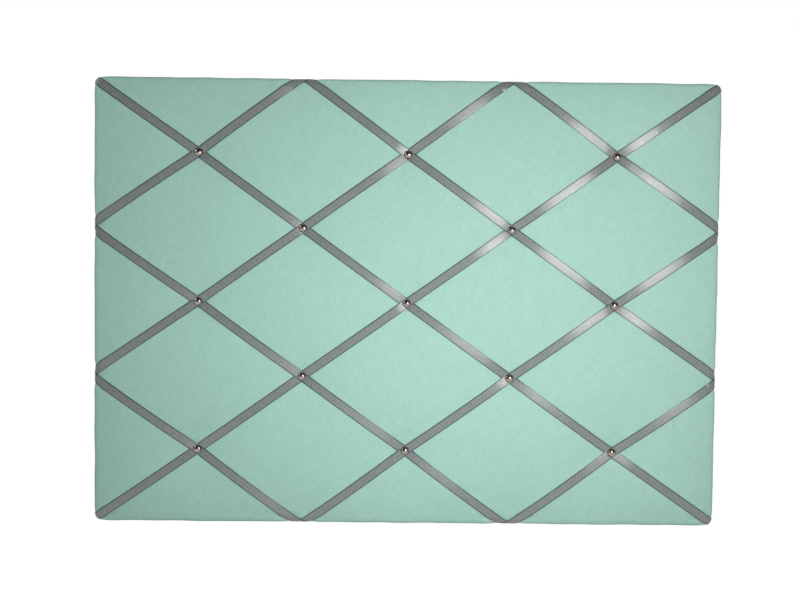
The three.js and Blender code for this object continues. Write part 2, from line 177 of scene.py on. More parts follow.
panel = dict(
    midX=295.4, midZ=208.4,  # half the face, out to the edge line, where the rounded edge starts
    reach=7.0,  # from the edge line out to the side
    edgeLift=5.6,  # of the cloth at the edge line
    shoulder=11.8, edgePower=3.3,  # the edge is part of a squarish ellipse that starts this far further in
    frontY=-12.2,  # the board's front face
    backLift=-10.1, backRound=2.5,
    hemEnd=-48.4, hemCorner=4.0,  # the hem's raw edge, from the edge line
    roundSteps=60, backSteps=12,
    slopeStep=0.3,
)
lattice = dict(
    cells=3, stepX=100.8, stepZ=71.8,
    seat=4.2, arch=4.9, archPower=2.6,  # lift at a stud, and how much more half way to the next
    edgeRest=4.5,  # how far past the edge line a channel would come down to the lift at a stud
)
ribbonCut = dict(
    width=8.7, thick=0.36, tail=30.0,  # a 9 mm ribbon, drawn a little narrower by the pull
    across=(-1, -0.96, -0.86, -0.44, 0, 0.44, 0.86, 0.96, 1), rimThin=0.45, rimPower=20, under=0.04,
    meetSide=11.6, meetTop=9.3,  # how far past the edge line two ribbons cross
    press=6.2,  # cloth is held down this far from the middle line
    sink=1.2, cornerSink=0.8, sinkFrom=-0.5, sinkTo=5.5,  # how far an edge is pressed in, fading past the rim
    channelPast=8.0,  # a channel runs on past its ends
    clear=0.22,  # above the cloth
    over=0.42, overFlat=7.0, overRun=24.0,  # lift of the upper ribbon at a stud, and where it fades
    edgeRise=(-6.0, 6.0), edgeFall=(4.0, 9.0),  # and at an edge: past the edge line, past the back's start
    settle=8.0, tiltBy=4.0,  # past the edge line by which a ribbon lies on the edge, and stands square to it
    cornerBend=(-9.0, 7.0), cornerEase=0.75, cornerFlat=8.0, leastBend=1e-3,
    step=2.5, fineStep=0.9, fineFrom=-3.0, fineTo=4.0,
)
cells = lattice["cells"]
halfRibbon = ribbonCut["width"] / 2
stepX, stepZ = lattice["stepX"], lattice["stepZ"]
halfSpan = math.hypot(stepX, stepZ) / 2
layingOrder = [
    "fall_3", "rise_3", "fall_2", "rise_2", "fall_4", "rise_4",
    "fall_1", "fall_5", "rise_1", "rise_5",
]
studCells = [
    (i, j) for j in range(cells - 1, -cells, -1) for i in range(1 - cells, cells)
    if (i + j) % 2 == 0
]


def depthOf(lift):
    return panel["frontY"] - lift


def channelLift(distance):
    # cloth under a ribbon, at a distance from the nearest stud or edge
    t = np.clip(np.asarray(distance, float) / halfSpan, 0, 1)
    return lattice["seat"] + lattice["arch"] * (1 - (1 - t) ** lattice["archPower"])


# Section of the cover across an edge, from the face round to the back: how far out and how high, by length
# of cloth

def edgeSection():
    reach, shoulder, power = panel["reach"], panel["shoulder"], panel["edgePower"]
    low, small = panel["backLift"], panel["backRound"]
    wide = reach + shoulder
    tall = panel["edgeLift"] / (1 - (shoulder / wide) ** power) ** (1 / power)
    start = math.asin((shoulder / wide) ** (power / 2))
    turns = np.linspace(start, math.pi / 2, panel["roundSteps"] + 1)
    out = list(wide * np.sin(turns) ** (2 / power) - shoulder) + [reach]
    lift = list(tall * np.abs(np.cos(turns)) ** (2 / power)) + [low + small]
    for turn in np.linspace(0, math.pi / 2, panel["backSteps"] + 1)[1:]:
        out.append(reach - small + small * math.cos(turn))
        lift.append(low + small - small * math.sin(turn))
    out.append(panel["hemEnd"])
    lift.append(low)
    length = np.concatenate([[0], np.cumsum(np.hypot(np.diff(out), np.diff(lift)))])
    return length, np.array(out), np.array(lift)


sectionLength, sectionOut, sectionLift = edgeSection()
roundLength = sectionLength[panel["roundSteps"]]
sideLength = sectionLength[panel["roundSteps"] + 1]
backLength = sectionLength[-2]


def sectionPlace(length):
    return np.interp(length, sectionLength, sectionOut), np.interp(length, sectionLength, sectionLift)


def sectionAt(length):
    # out, lift and the outward normal at a length of cloth past the edge line
    length = np.asarray(length, float)
    out, lift = sectionPlace(length)
    ahead = sectionPlace(length + panel["slopeStep"])
    behind = sectionPlace(length - panel["slopeStep"])
    runOut, runLift = ahead[0] - behind[0], ahead[1] - behind[1]
    size = np.maximum(np.hypot(runOut, runLift), tiny)
    return out, lift, -runLift / size, runOut / size


# Ribbon routes. An end has its own edge: an origin on the edge line, the way out, and the slope.

def ribbonName(family, cell):
    i, j = cell
    return f"{family}_{cells + (i + j) // 2 if family == 'fall' else cells - (j - i) // 2}"


def liesOver(family, cell):
    mine = ribbonName(family, cell)
    other = ribbonName("rise" if family == "fall" else "fall", cell)
    if other not in layingOrder:  # a corner has one ribbon only
        return False
    return layingOrder.index(mine) > layingOrder.index(other)


def ribbonEnd(studCell, edgeCell):
    i, j = edgeCell
    atSide, atTop = abs(i) == cells, abs(j) == cells
    stud = np.array([studCell[0] * stepX, studCell[1] * stepZ])
    origin = np.array([
        np.sign(i) * panel["midX"] if atSide else i * stepX,
        np.sign(j) * panel["midZ"] if atTop else j * stepZ,
    ])
    normal = np.array([np.sign(i) if atSide else 0.0, np.sign(j) if atTop else 0.0])
    if atSide and atTop:
        normal = (origin - stud) / np.linalg.norm(origin - stud)
    tangent = np.array([-normal[1], normal[0]])
    back = stud - origin
    start = back.dot(normal)
    meet = ribbonCut["meetTop" if atTop else "meetSide"]
    slope = -back.dot(tangent) / (meet - start)
    toEdge = -start * math.hypot(1, slope)  # along the ribbon
    return dict(
        stud=stud, origin=origin, normal=normal, tangent=tangent, slope=slope,
        start=start, meet=meet, toEdge=toEdge, corner=atSide and atTop,
    )


routes = {}
for family, drop in (("fall", -1), ("rise", 1)):
    for n in range(1, 2 * cells):
        name = f"{family}_{n}"
        held = sorted(c for c in studCells if ribbonName(family, c) == name)
        before = (held[0][0] - 1, held[0][1] - drop)
        after = (held[-1][0] + 1, held[-1][1] + drop)
        routes[name] = dict(
            drop=drop, held=held,
            over=[liesOver(family, c) for c in held],
            first=ribbonEnd(held[0], before), firstOver=liesOver(family, before),
            last=ribbonEnd(held[-1], after), lastOver=liesOver(family, after),
        )
ribbonEnds = [end for route in routes.values() for end in (route["first"], route["last"])]


def channels(x, z):
    # distance to the nearest ribbon's middle line on the face, and the channel's lift there
    best, low = np.full(x.shape, farOff), np.full(x.shape, farOff)
    lift = np.full(x.shape, panel["edgeLift"])

    def mark(start, way, longest):
        dx, dz = x - start[0], z - start[1]
        side, along = dx * -way[1] + dz * way[0], dx * way[0] + dz * way[1]
        near = (along >= -ribbonCut["channelPast"]) & (along <= longest + ribbonCut["channelPast"])
        d = np.where(near, np.abs(side), farOff)
        height = channelLift(np.minimum(np.abs(along), np.abs(longest - along)))
        closer = d < best
        best[closer], lift[closer] = d[closer], height[closer]
        inside = d <= ribbonCut["press"]
        low[inside] = np.minimum(low[inside], height[inside])

    for route in routes.values():
        way = np.array([stepX, route["drop"] * stepZ]) / (2 * halfSpan)
        for i, j in route["held"][:-1]:
            mark((i * stepX, j * stepZ), way, 2 * halfSpan)
        for end in (route["first"], route["last"]):
            endWay = end["normal"] + end["tangent"] * end["slope"]
            endWay = endWay / np.linalg.norm(endWay)
            mark(end["stud"], endWay, end["toEdge"] + lattice["edgeRest"])
    return best, np.where(low < farOff, low, lift)


def pressedIn(off, most=ribbonCut["sink"]):
    # how far a ribbon presses the cloth in, at a distance from its middle line
    fade = smoothStep(off, halfRibbon + ribbonCut["sinkFrom"], halfRibbon + ribbonCut["sinkTo"])
    return most * (1 - fade)


def edgeSink(x, z, side, length):
    # how far a ribbon presses the cloth in at an edge, for points on one straight side
    sink = np.zeros(np.shape(length))
    for end in ribbonEnds:
        if end["corner"] or end["normal"].dot(side) < sameWay:
            continue
        along = (np.stack([x, z], -1) - end["origin"]) @ end["tangent"]
        off = np.abs(along - end["slope"] * (length - end["meet"])) / math.hypot(1, end["slope"])
        sink = np.maximum(sink, pressedIn(off))
    return sink


print("routes:", len(routes), "ribbons over", len(studCells), "studs")


# Cover: cotton stretched over wadding. A grid that follows the lattice on the face, then loops round the edge
# and on to the back. It starts a little slack, and pressure under the cloth swells it between the ribbons.

coverMake = dict(
    divide=20, rimGap=1.0,  # grid cells to a lattice step, and the least room to the edge line
    slack=0.0016, passes=900,
    pressure=9.0, frames=20, quality=6, cap=1.9,  # the swelling, and the most it moves a point, in mm
    fan=8,  # steps round a corner
    edgeLoops=(8, 17, 25, 32, 38, 44, 50, 55, 60),  # by step of the section
    sideLoops=(0.33, 0.67, 1.0),  # by share of the straight side
    hemLoops=(5, 16, 34),  # mm on to the back
    wander=0.35, cornerWander=0.2,  # unevenness round the edge
    seed=12, waves=5, waveRate=(0.006, 0.028), waveStart=(0, 6.28), waveWeight=(0.5, 1.0), waveShare=3,
    cornerNear=6,  # a corner ribbon presses the edge within this
    beside=0.9,  # cloth is kept below a ribbon this far past its rim
    cutShare=0.985,  # of the full rectangle, once its corners are cut away
)


def gridLines(middle, spacing):
    # lines that follow the lattice, and the two edge lines
    count = int((middle - coverMake["rimGap"]) / spacing)
    return np.concatenate([[-middle], np.arange(-count, count + 1) * spacing, [middle]])


def settledFace(gx, gz, dx, dz):
    # lift of the slack cloth over the face, and where it is held
    off, lift = channels(gx, gz)
    held = off <= ribbonCut["press"]
    rim = np.zeros_like(held)
    rim[[0, -1]] = True
    rim[:, [0, -1]] = True
    height = np.where(held, lift, panel["edgeLift"])
    height[rim] = (panel["edgeLift"] - pressedIn(off))[rim]
    fixed = held | rim
    wx, wz = 1 / dx ** 2, 1 / dz ** 2
    for _ in range(coverMake["passes"]):
        sideways = wx * (height[1:-1, 2:] + height[1:-1, :-2])
        upwards = wz * (height[2:, 1:-1] + height[:-2, 1:-1])
        inner = (sideways + upwards + coverMake["slack"]) / (2 * wx + 2 * wz)
        height[1:-1, 1:-1] = np.where(fixed[1:-1, 1:-1], height[1:-1, 1:-1], inner)
    return height, fixed


def loopLengths():
    # lengths of cloth past the edge line at which a loop of points runs round the board
    lengths = [sectionLength[k] for k in coverMake["edgeLoops"]]
    lengths += [roundLength + (sideLength - roundLength) * t for t in coverMake["sideLoops"]]
    lengths += [(sideLength + backLength) / 2, backLength]
    lengths += [backLength + t for t in coverMake["hemLoops"]]
    return lengths + [sectionLength[-1]]


def edgeWander(bx, bz, straight):
    # slow unevenness of the cloth along the edge
    make = coverMake
    rng = np.random.default_rng(make["seed"])
    waves = [
        (rng.uniform(*make["waveRate"]), rng.uniform(*make["waveStart"]), rng.uniform(*make["waveWeight"]))
        for _ in range(make["waves"])
    ]
    trail = np.cumsum(np.concatenate([[0], np.hypot(np.diff(bx), np.diff(bz))]))
    swing = sum(w * np.sin(2 * math.pi * f * trail + p) for f, p, w in waves) / make["waveShare"]
    return swing * np.where(straight, 1, make["cornerWander"])


def coverMesh():
    make = coverMake
    dx, dz = stepX / make["divide"], stepZ / make["divide"]
    gx, gz = np.meshgrid(gridLines(panel["midX"], dx), gridLines(panel["midZ"], dz))
    height, fixed = settledFace(gx, gz, dx, dz)
    points = np.stack([gx.ravel(), depthOf(height).ravel(), gz.ravel()], 1)
    uvs = np.stack([gx.ravel(), gz.ravel()], 1)
    pins = fixed.ravel().astype(float)
    number = np.arange(gx.size).reshape(gx.shape)
    stations = borderStations(number, make["fan"])
    base = np.array([s[0] for s in stations])
    ways = np.array([s[1] for s in stations])
    straight = np.array([s[2] for s in stations])
    bx, bz = points[base, 0], points[base, 2]
    wander = edgeWander(bx, bz, straight)
    corner = panel["hemCorner"]
    rings = [base]
    for length in loopLengths():
        out, lift, nOut, nLift = sectionAt(np.full(len(base), length))
        sink = np.zeros(len(base))
        for side in sideWays:
            mine = straight & (ways @ side > sameWay)
            sink[mine] = edgeSink(bx[mine], bz[mine], side, np.full(mine.sum(), length))
        for end in ribbonEnds:
            if not end["corner"]:
                continue
            mine = (bx * end["normal"][0] > 0) & (bz * end["normal"][1] > 0)
            mine &= np.hypot(bx - end["origin"][0], bz - end["origin"][1]) < make["cornerNear"]
            gone = np.stack([bx, bz], 1)[mine] + ways[mine] * out[mine, None] - end["origin"]
            pressed = pressedIn(np.abs(gone @ end["tangent"]), ribbonCut["cornerSink"])
            sink[mine] = np.maximum(sink[mine], pressed)
        bow = make["wander"] * wander * np.sin(math.pi * np.clip(length / backLength, 0, 1))
        out, lift = out + nOut * (bow - sink), lift + nLift * (bow - sink)
        hem = out < corner  # from here the loops draw in and keep a small corner
        shrinkX = np.where(hem, (panel["midX"] + out - corner) / panel["midX"], 1.0)
        shrinkZ = np.where(hem, (panel["midZ"] + out - corner) / panel["midZ"], 1.0)
        outward = np.where(hem, corner, out)
        px = bx * shrinkX + ways[:, 0] * outward
        pz = bz * shrinkZ + ways[:, 1] * outward
        rings.append(np.arange(len(points), len(points) + len(base)))
        points = np.concatenate([points, np.stack([px, depthOf(lift), pz], 1)])
        flat = np.stack([bx + ways[:, 0] * length, bz + ways[:, 1] * length], 1)
        uvs = np.concatenate([uvs, flat])
        pins = np.concatenate([pins, np.ones(len(base))])
    return points, gridFaces(number) + bands(rings), uvs * mm, pins, gx.shape


def swell(piece, pins):
    # pressure under the cloth, with the ribbons, studs and edges holding it
    group = piece.vertex_groups.new(name="held")
    for k in np.nonzero(pins > 0)[0]:
        group.add([int(k)], 1.0, "REPLACE")
    cloth = piece.modifiers.new("cloth", "CLOTH")
    cloth.settings.vertex_group_mass = "held"
    cloth.settings.quality = coverMake["quality"]
    cloth.settings.use_pressure = True
    cloth.settings.uniform_pressure_force = coverMake["pressure"]
    cloth.settings.effector_weights.gravity = 0
    cloth.collision_settings.use_collision = False
    cloth.point_cache.frame_start, cloth.point_cache.frame_end = 1, coverMake["frames"]
    for f in range(1, coverMake["frames"] + 1):
        scene.frame_set(f)
    graph = bpy.context.evaluated_depsgraph_get()
    moved = piece.evaluated_get(graph).to_mesh()
    count = len(piece.data.vertices)
    before, after = np.zeros(count * 3), np.zeros(count * 3)
    piece.data.vertices.foreach_get("co", before)
    moved.vertices.foreach_get("co", after)
    shift = (after - before).reshape(-1, 3)
    size = np.linalg.norm(shift, axis=1, keepdims=True)
    shift *= np.minimum(1, coverMake["cap"] * mm / np.maximum(size, tiny))
    piece.modifiers.clear()
    piece.vertex_groups.clear()
    piece.data.vertices.foreach_set("co", before + shift.ravel())
    piece.data.update()
    scene.frame_set(1)
    print("cloth swelled by up to", round(float(size.max()) / mm, 2), "mm")


def plainWeave(tree, flat, thread, uneven, unevenScale):
    # rounded threads both ways, over and under by turns
    oneBand = 2 * math.pi / 20  # the wave texture's scale for one band to a unit
    values = {
        "Vector": flat, "Scale": oneBand / thread,
        "Distortion": uneven, "Detail": 1.0, "Detail Scale": unevenScale,
    }
    threads = [
        addNode(tree, "ShaderNodeTexWave", values, bands_direction=direction).outputs["Fac"]
        for direction in "XY"
    ]
    turns = addNode(tree, "ShaderNodeTexChecker", {"Vector": flat, "Scale": 1 / thread}).outputs["Fac"]
    return addNode(tree, "ShaderNodeMix", {0: turns, 2: threads[0], 3: threads[1]}, data_type="FLOAT")


# Mint cotton with a linen look: plain weave with thick and thin threads, so short pale and dark streaks run
# both ways over a soft matt colour, with a little fuzz at the edges.
def mintCotton():
    material, tree, shader = newMaterial("mintCotton")
    # mm; threads drawn about twice as coarse as real
    weave = dict(thread=0.85, slubLength=8.0, slubWidth=1.1, cloud=14)
    flat = clothPlane(tree)
    long, slim = weave["slubLength"], weave["slubWidth"]
    slubs = []
    for wide, tall in ((long, slim), (slim, long)):
        drawn = addNode(tree, "ShaderNodeMapping", {"Vector": flat, "Scale": (1 / wide, 1 / tall, 1)})
        streak = addNode(
            tree, "ShaderNodeTexNoise", {"Vector": drawn, "Scale": 1.0, "Detail": 2.0, "Roughness": 0.6},
        )
        level = addNode(tree, "ShaderNodeMapRange", {0: streak, 1: 0.28, 2: 0.72, 3: -1.0, 4: 1.0})
        # few threads are thick or thin enough to show
        slubs.append(addNode(tree, "ShaderNodeMath", {0: level, 1: 3.0}, operation="POWER"))
    threads = addNode(tree, "ShaderNodeMath", {0: slubs[0], 1: 0.7, 2: slubs[1]}, operation="MULTIPLY_ADD")
    cloud = addNode(tree, "ShaderNodeTexNoise", {"Vector": flat, "Scale": 1 / weave["cloud"], "Detail": 3.0})
    blotch = addNode(tree, "ShaderNodeMath", {0: cloud, 1: 0.55, 2: threads}, operation="MULTIPLY_ADD")
    shade = addNode(tree, "ShaderNodeMapRange", {0: blotch, 1: -0.4, 2: 0.95, 3: 0.0, 4: 1.0})
    tint = addNode(tree, "ShaderNodeValToRGB", {"Fac": shade})
    tint.color_ramp.elements[0].color = linear("#a2cfc2")
    tint.color_ramp.elements[1].color = linear("#b8e1d5")
    over = plainWeave(tree, flat, weave["thread"], 0.6, 0.4)
    woven = addNode(
        tree, "ShaderNodeMix", {0: 0.07, 6: tint, 7: over}, data_type="RGBA", blend_type="SOFT_LIGHT",
    )
    heights = addNode(tree, "ShaderNodeMath", {0: threads, 1: 0.8, 2: over}, operation="MULTIPLY_ADD")
    bump = addNode(tree, "ShaderNodeBump", {"Strength": 0.28, "Distance": 0.00022, "Height": heights})
    feed(tree, shader, {
        "Base Color": woven.outputs[2], "Normal": bump,
        "Roughness": 0.88, "Specular IOR Level": 0.25,
        "Sheen Weight": 0.12, "Sheen Roughness": 0.45, "Sheen Tint": linear("#dff2ec"),
    })
    return material


mint = mintCotton()
coverPoints, coverFaces, coverUvs, coverPins, coverGrid = coverMesh()
cover = newPiece("cover", coverPoints, coverFaces, mint, coverUvs)
swell(cover, coverPins)
slackPoints = np.array([v.co for v in cover.data.vertices]) / mm  # the swelled cloth before it is made finer
finer = cover.modifiers.new("finer", "SUBSURF")
finer.levels = finer.render_levels = 1
baked(cover)
finePoints = np.zeros(len(cover.data.vertices) * 3)
cover.data.vertices.foreach_get("co", finePoints)
finePoints = finePoints.reshape(-1, 3) / mm
onFace = (np.abs(finePoints[:, 0]) < panel["midX"]) & (np.abs(finePoints[:, 2]) < panel["midZ"])
onFace &= finePoints[:, 1] < panel["frontY"]
off, lift = channels(finePoints[onFace, 0], finePoints[onFace, 2])
below = np.where(off < halfRibbon + coverMake["beside"], depthOf(lift), -farOff)
finePoints[onFace, 1] = np.maximum(finePoints[onFace, 1], below)  # nothing stands through a ribbon
cover.data.vertices.foreach_set("co", (finePoints * mm).ravel())
cover.data.update()
cover.data.shade_smooth()
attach(cover, "board")
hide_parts("cover_cloth")
highest = round(panel["frontY"] - finePoints[:, 1].min(), 2)
print("cover:", len(cover.data.polygons), "faces, highest lift", highest)


# Wadding: the pad under the cover, with the same swells, down the edge of the board

waddingMake = dict(
    under=0.9, clear=0.2,  # below the cloth, and a little more at the edge
    every=2, fan=4,  # every second line of the cover's grid, and steps round a corner
    edgeLoops=(0, 16, 30, 40, 50, 60),  # by step of the section
    crown=5,  # at the edge, what is higher than this keeps under the face
    sideLift=-4.5, backLift=-8.8, low=0.3, boardReach=1.9,
)


def waddingMesh():
    make = waddingMake
    rows, columns = coverGrid
    face = slackPoints[:rows * columns].reshape(rows, columns, 3)
    pickR = sorted(set(range(0, rows, make["every"])) | {0, rows - 1})
    pickC = sorted(set(range(0, columns, make["every"])) | {0, columns - 1})
    top = face[np.ix_(pickR, pickC)].copy()
    top[..., 1] += make["under"]
    points = list(top.reshape(-1, 3))
    number = np.arange(len(points)).reshape(len(pickR), len(pickC))
    stations = borderStations(number, make["fan"])
    inset = make["under"] + ribbonCut["sink"] + make["clear"]
    profile = []
    for k in make["edgeLoops"]:
        out, lift, nOut, nLift = (float(v) for v in sectionAt(sectionLength[k]))
        profile.append((out - inset * nOut, lift - inset * nLift))
    reach = panel["reach"] - inset
    profile += [(reach, make["sideLift"]), (reach, make["backLift"])]
    profile += [(make["boardReach"], make["backLift"]), (make["boardReach"], make["low"])]
    rings = [[p for p, _, _ in stations]]
    for out, lift in profile:
        first = len(points)
        for p, way, _ in stations:
            x, y, z = points[p]
            height = lift if lift < make["crown"] else min(lift, panel["frontY"] - y)
            points.append((x + way[0] * out, depthOf(height), z + way[1] * out))
        rings.append(list(range(first, len(points))))
    return points, gridFaces(number) + bands(rings) + [tuple(rings[-1])]


# Polyester wadding: soft white fibres with no sheen and a fluffy, uneven surface.
def polyesterWadding():
    material, tree, shader = newMaterial("polyesterWadding")
    tuft = 6 * mm
    space = addNode(tree, "ShaderNodeTexCoord").outputs["Object"]
    fluff = addNode(tree, "ShaderNodeTexNoise", {"Vector": space, "Scale": 1 / tuft, "Detail": 5.0})
    tint = addNode(tree, "ShaderNodeValToRGB", {"Fac": fluff})
    tint.color_ramp.elements[0].color = linear("#dedcd6")
    tint.color_ramp.elements[1].color = linear("#f7f6f2")
    bump = addNode(tree, "ShaderNodeBump", {"Strength": 0.5, "Distance": 0.0008, "Height": fluff})
    feed(tree, shader, {"Base Color": tint, "Normal": bump, "Roughness": 1.0, "Specular IOR Level": 0.1})
    return material


waddingPoints, waddingFaces = waddingMesh()
wadding = facedOut(newPiece("pad", waddingPoints, waddingFaces, polyesterWadding()))
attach(wadding, "board")
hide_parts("wadding")
print("pad:", len(wadding.data.polygons), "faces")


# Ribbons: single-face satin, drawn tight from stud to stud, over the edge and under the lining. A station is
# a function from a place across the ribbon and a height to a point.

def raised(distance, over):
    # lift of the upper ribbon near a stud
    fade = smoothStep(distance, ribbonCut["overFlat"], ribbonCut["overRun"])
    return ribbonCut["over"] * float(1 - fade) if over else 0.0


def faceStation(place, side, lift):
    def point(across, high):
        y = depthOf(lift + ribbonCut["clear"] + high)
        return place[0] + side[0] * across, y, place[1] + side[1] * across

    return point


def edgeStation(end, sense, s, lift, up):
    w, slope = ribbonCut, end["slope"]
    run = math.hypot(1, slope)

    def point(across, high):
        # a place in the unfolded cloth: past the edge line, and along it
        past = end["start"] + s / run - sense * across * slope / run
        along = (end["start"] + s / run - end["meet"]) * slope + sense * across / run
        if end["corner"]:
            past, along = end["start"] + s, sense * across
        out, rise, nOut, nLift = (float(v) for v in sectionAt(max(past, 0.0)))
        if past <= 0:
            out, rise, nOut, nLift = past, lift, 0.0, 1.0
        else:
            rise += (lift - panel["edgeLift"]) * max(0.0, 1 - past / w["settle"]) ** 2
            tilt = float(smoothStep(past, 0, w["tiltBy"]))
            nOut, nLift = nOut * tilt, 1 - tilt + nLift * tilt
        out, rise = out + nOut * (up + high), rise + nLift * (up + high)
        if end["corner"]:  # wraps across the round corner as well as over it
            flatter = smoothStep(past, sideLength, backLength + w["cornerFlat"])
            bend = float(smoothStep(past, *w["cornerBend"]) * (1 - w["cornerEase"] * flatter))
            bend = max(bend, w["leastBend"])
            turn = along / panel["reach"] * bend
            along = math.sin(turn) * panel["reach"] / bend
            drop = 1 - math.cos(turn)
            out -= max(out, 0.0) * drop
            rise -= max(rise, 0.0) * drop
        place = end["origin"] + end["normal"] * out + end["tangent"] * along
        return place[0], depthOf(rise), place[1]

    return point


def endStations(end, overStud, overEdge, sense):
    # from the last stud over the edge to the end of the tail
    w = ribbonCut
    run = math.hypot(1, end["slope"])
    sink = w["cornerSink" if end["corner"] else "sink"]
    total = (backLength + w["tail"] - end["start"]) * run
    stops = []
    s = w["step"]
    while s < total:
        stops.append(s)
        turning = w["fineFrom"] <= end["start"] + s / run <= backLength + w["fineTo"]
        s += w["fineStep"] if turning else w["step"]
    stops.append(total)
    found = []
    for s in stops:
        past = end["start"] + s / run
        falls = [backLength + f for f in w["edgeFall"]]
        edge = overEdge * w["over"] * float(smoothStep(past, *w["edgeRise"]) * (1 - smoothStep(past, *falls)))
        face = min(s, end["toEdge"])
        lift = float(channelLift(min(face, end["toEdge"] + lattice["edgeRest"] - face))) + sink
        up = w["clear"] - sink + raised(s, overStud) + edge
        found.append(edgeStation(end, sense, s, lift, up))
    return found[::-1] if sense < 0 else found


def ribbonStations(route):
    way = np.array([stepX, route["drop"] * stepZ]) / (2 * halfSpan)
    side = np.array([-way[1], way[0]])
    count = round(2 * halfSpan / ribbonCut["step"])
    stations = endStations(route["first"], route["over"][0], route["firstOver"], -1)
    for k, (i, j) in enumerate(route["held"]):
        stud = np.array([i * stepX, j * stepZ])
        stations.append(faceStation(stud, side, float(channelLift(0)) + raised(0, route["over"][k])))
        if k == len(route["held"]) - 1:
            break
        for q in range(1, count):
            s = 2 * halfSpan * q / count
            near = min(s, 2 * halfSpan - s)
            lift = float(channelLift(near)) + raised(near, route["over"][k if s < halfSpan else k + 1])
            stations.append(faceStation(stud + way * s, side, lift))
    return stations + endStations(route["last"], route["over"][-1], route["lastOver"], 1)


def ribbonMesh(route):
    w = ribbonCut
    stops = [halfRibbon * s for s in w["across"]]
    profile = [(a, w["thick"] * (1 - w["rimThin"] * abs(a / halfRibbon) ** w["rimPower"])) for a in stops]
    profile += [(a, w["under"]) for a in stops[::-1]]
    points, uvs, rings = [], [], []
    length, previous = 0.0, None
    for station in ribbonStations(route):
        middle = np.array(station(0.0, w["thick"]))
        length += 0 if previous is None else float(np.linalg.norm(middle - previous))
        previous = middle
        rings.append(list(range(len(points), len(points) + len(profile))))
        for across, high in profile:
            points.append(station(across, high))
            uvs.append(((across + halfRibbon) * mm, length * mm))
    faces = bands(rings)
    faces += [tuple(rings[0]), tuple(rings[-1][::-1])]
    return points, faces, uvs, length


# Grey polyester satin: long floats run along the ribbon, so light spreads across it in bands where it slopes
# towards the lamp and the rest stays a plain mid grey. The two selvedges are firmer; a dark green-grey band
# is painted along each rim as the contact shade where the ribbon meets the cloth.
def greySatin():
    material, tree, shader = newMaterial("greySatin")
    # mm; floats drawn coarser than the real 0.1 mm
    weave = dict(floatWidth=0.7, floatLength=9, pickWidth=0.9, pickLength=6, paintedShadeBand=1.1, rim=0.5)
    flat = clothPlane(tree)
    threads = []
    for wide, tall in (("floatWidth", "floatLength"), ("pickLength", "pickWidth")):
        scale = (1 / weave[wide], 1 / weave[tall], 1)
        drawn = addNode(tree, "ShaderNodeMapping", {"Vector": flat, "Scale": scale})
        threads.append(addNode(tree, "ShaderNodeTexNoise", {"Vector": drawn, "Scale": 1.0, "Detail": 2.0}))
    floats, picks = threads
    tint = addNode(tree, "ShaderNodeValToRGB", {"Fac": floats})
    tint.color_ramp.elements[0].position, tint.color_ramp.elements[1].position = 0.3, 0.7
    tint.color_ramp.elements[0].color = linear("#7b8281")
    tint.color_ramp.elements[1].color = linear("#899190")
    across = addNode(tree, "ShaderNodeSeparateXYZ", {0: flat}).outputs[0]
    centred = addNode(tree, "ShaderNodeMath", {0: across, 1: halfRibbon}, operation="SUBTRACT")
    width = addNode(tree, "ShaderNodeMath", {0: centred}, operation="ABSOLUTE")
    # painted contact shade: towards each rim the colour is mixed to a dark green-grey
    inner, outer = halfRibbon - weave["paintedShadeBand"], halfRibbon - weave["rim"]
    edge = addNode(tree, "ShaderNodeMapRange", {0: width, 1: inner, 2: outer, 3: 0.0, 4: 1.0})
    colour = addNode(tree, "ShaderNodeMix", {0: edge, 6: tint, 7: linear("#35403c")}, data_type="RGBA")
    rough = addNode(tree, "ShaderNodeMapRange", {0: picks, 1: 0.3, 2: 0.7, 3: 0.24, 4: 0.37})
    heights = addNode(tree, "ShaderNodeMath", {0: floats, 1: 0.6, 2: picks}, operation="MULTIPLY_ADD")
    bump = addNode(tree, "ShaderNodeBump", {"Strength": 0.28, "Distance": 0.0001, "Height": heights})
    tangent = addNode(tree, "ShaderNodeTangent", direction_type="UV_MAP", uv_map="cut")
    feed(tree, shader, {
        "Base Color": colour.outputs[2], "Roughness": rough, "Normal": bump, "Tangent": tangent,
        "Anisotropic": 0.9, "IOR": 1.7, "Specular IOR Level": 0.65, "Sheen Weight": 0.05,
    })
    return material


satin = greySatin()
for name, route in routes.items():
    points, faces, uvs, length = ribbonMesh(route)
    ribbon = newPiece(f"satin_{name}", points, faces, satin, uvs)
    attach(ribbon, "board")
    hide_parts(f"ribbon_{name}")
    print(ribbon.name, "cut to", round(length), "mm")


# Studs: bright nickel domes on nails, one at each crossing

studMake = dict(
    diameter=8.2, height=3.0, rim=0.55, under=5.8,  # the head, and the lift of its underside
    shank=1.6, tip=-7.2, point=0.2,
    segments=40, rings=24, shankSides=12,
)


def newTree(name, inputs):
    # a node tree with named inputs, and what goes into each by its identifier
    tree = bpy.data.node_groups.new(name, "GeometryNodeTree")
    tree.interface.new_socket("Geometry", in_out="INPUT", socket_type="NodeSocketGeometry")
    sizes = {}
    for label, kind, value in inputs:
        socket = tree.interface.new_socket(label, in_out="INPUT", socket_type=f"NodeSocket{kind}")
        sizes[socket.identifier] = value
    tree.interface.new_socket("Geometry", in_out="OUTPUT", socket_type="NodeSocketGeometry")
    return tree, addNode(tree, "NodeGroupInput").outputs, sizes


def finishTree(tree, given, instance):
    # an instance on each given point, all made real, smooth and of the given metal
    placed = addNode(tree, "GeometryNodeInstanceOnPoints", {"Points": given["Geometry"], **instance})
    real = addNode(tree, "GeometryNodeRealizeInstances", {0: placed})
    smooth = addNode(tree, "GeometryNodeSetShadeSmooth", {0: real})
    dressed = addNode(tree, "GeometryNodeSetMaterial", {"Geometry": smooth, "Material": given["Metal"]})
    addNode(tree, "NodeGroupOutput", {0: dressed})


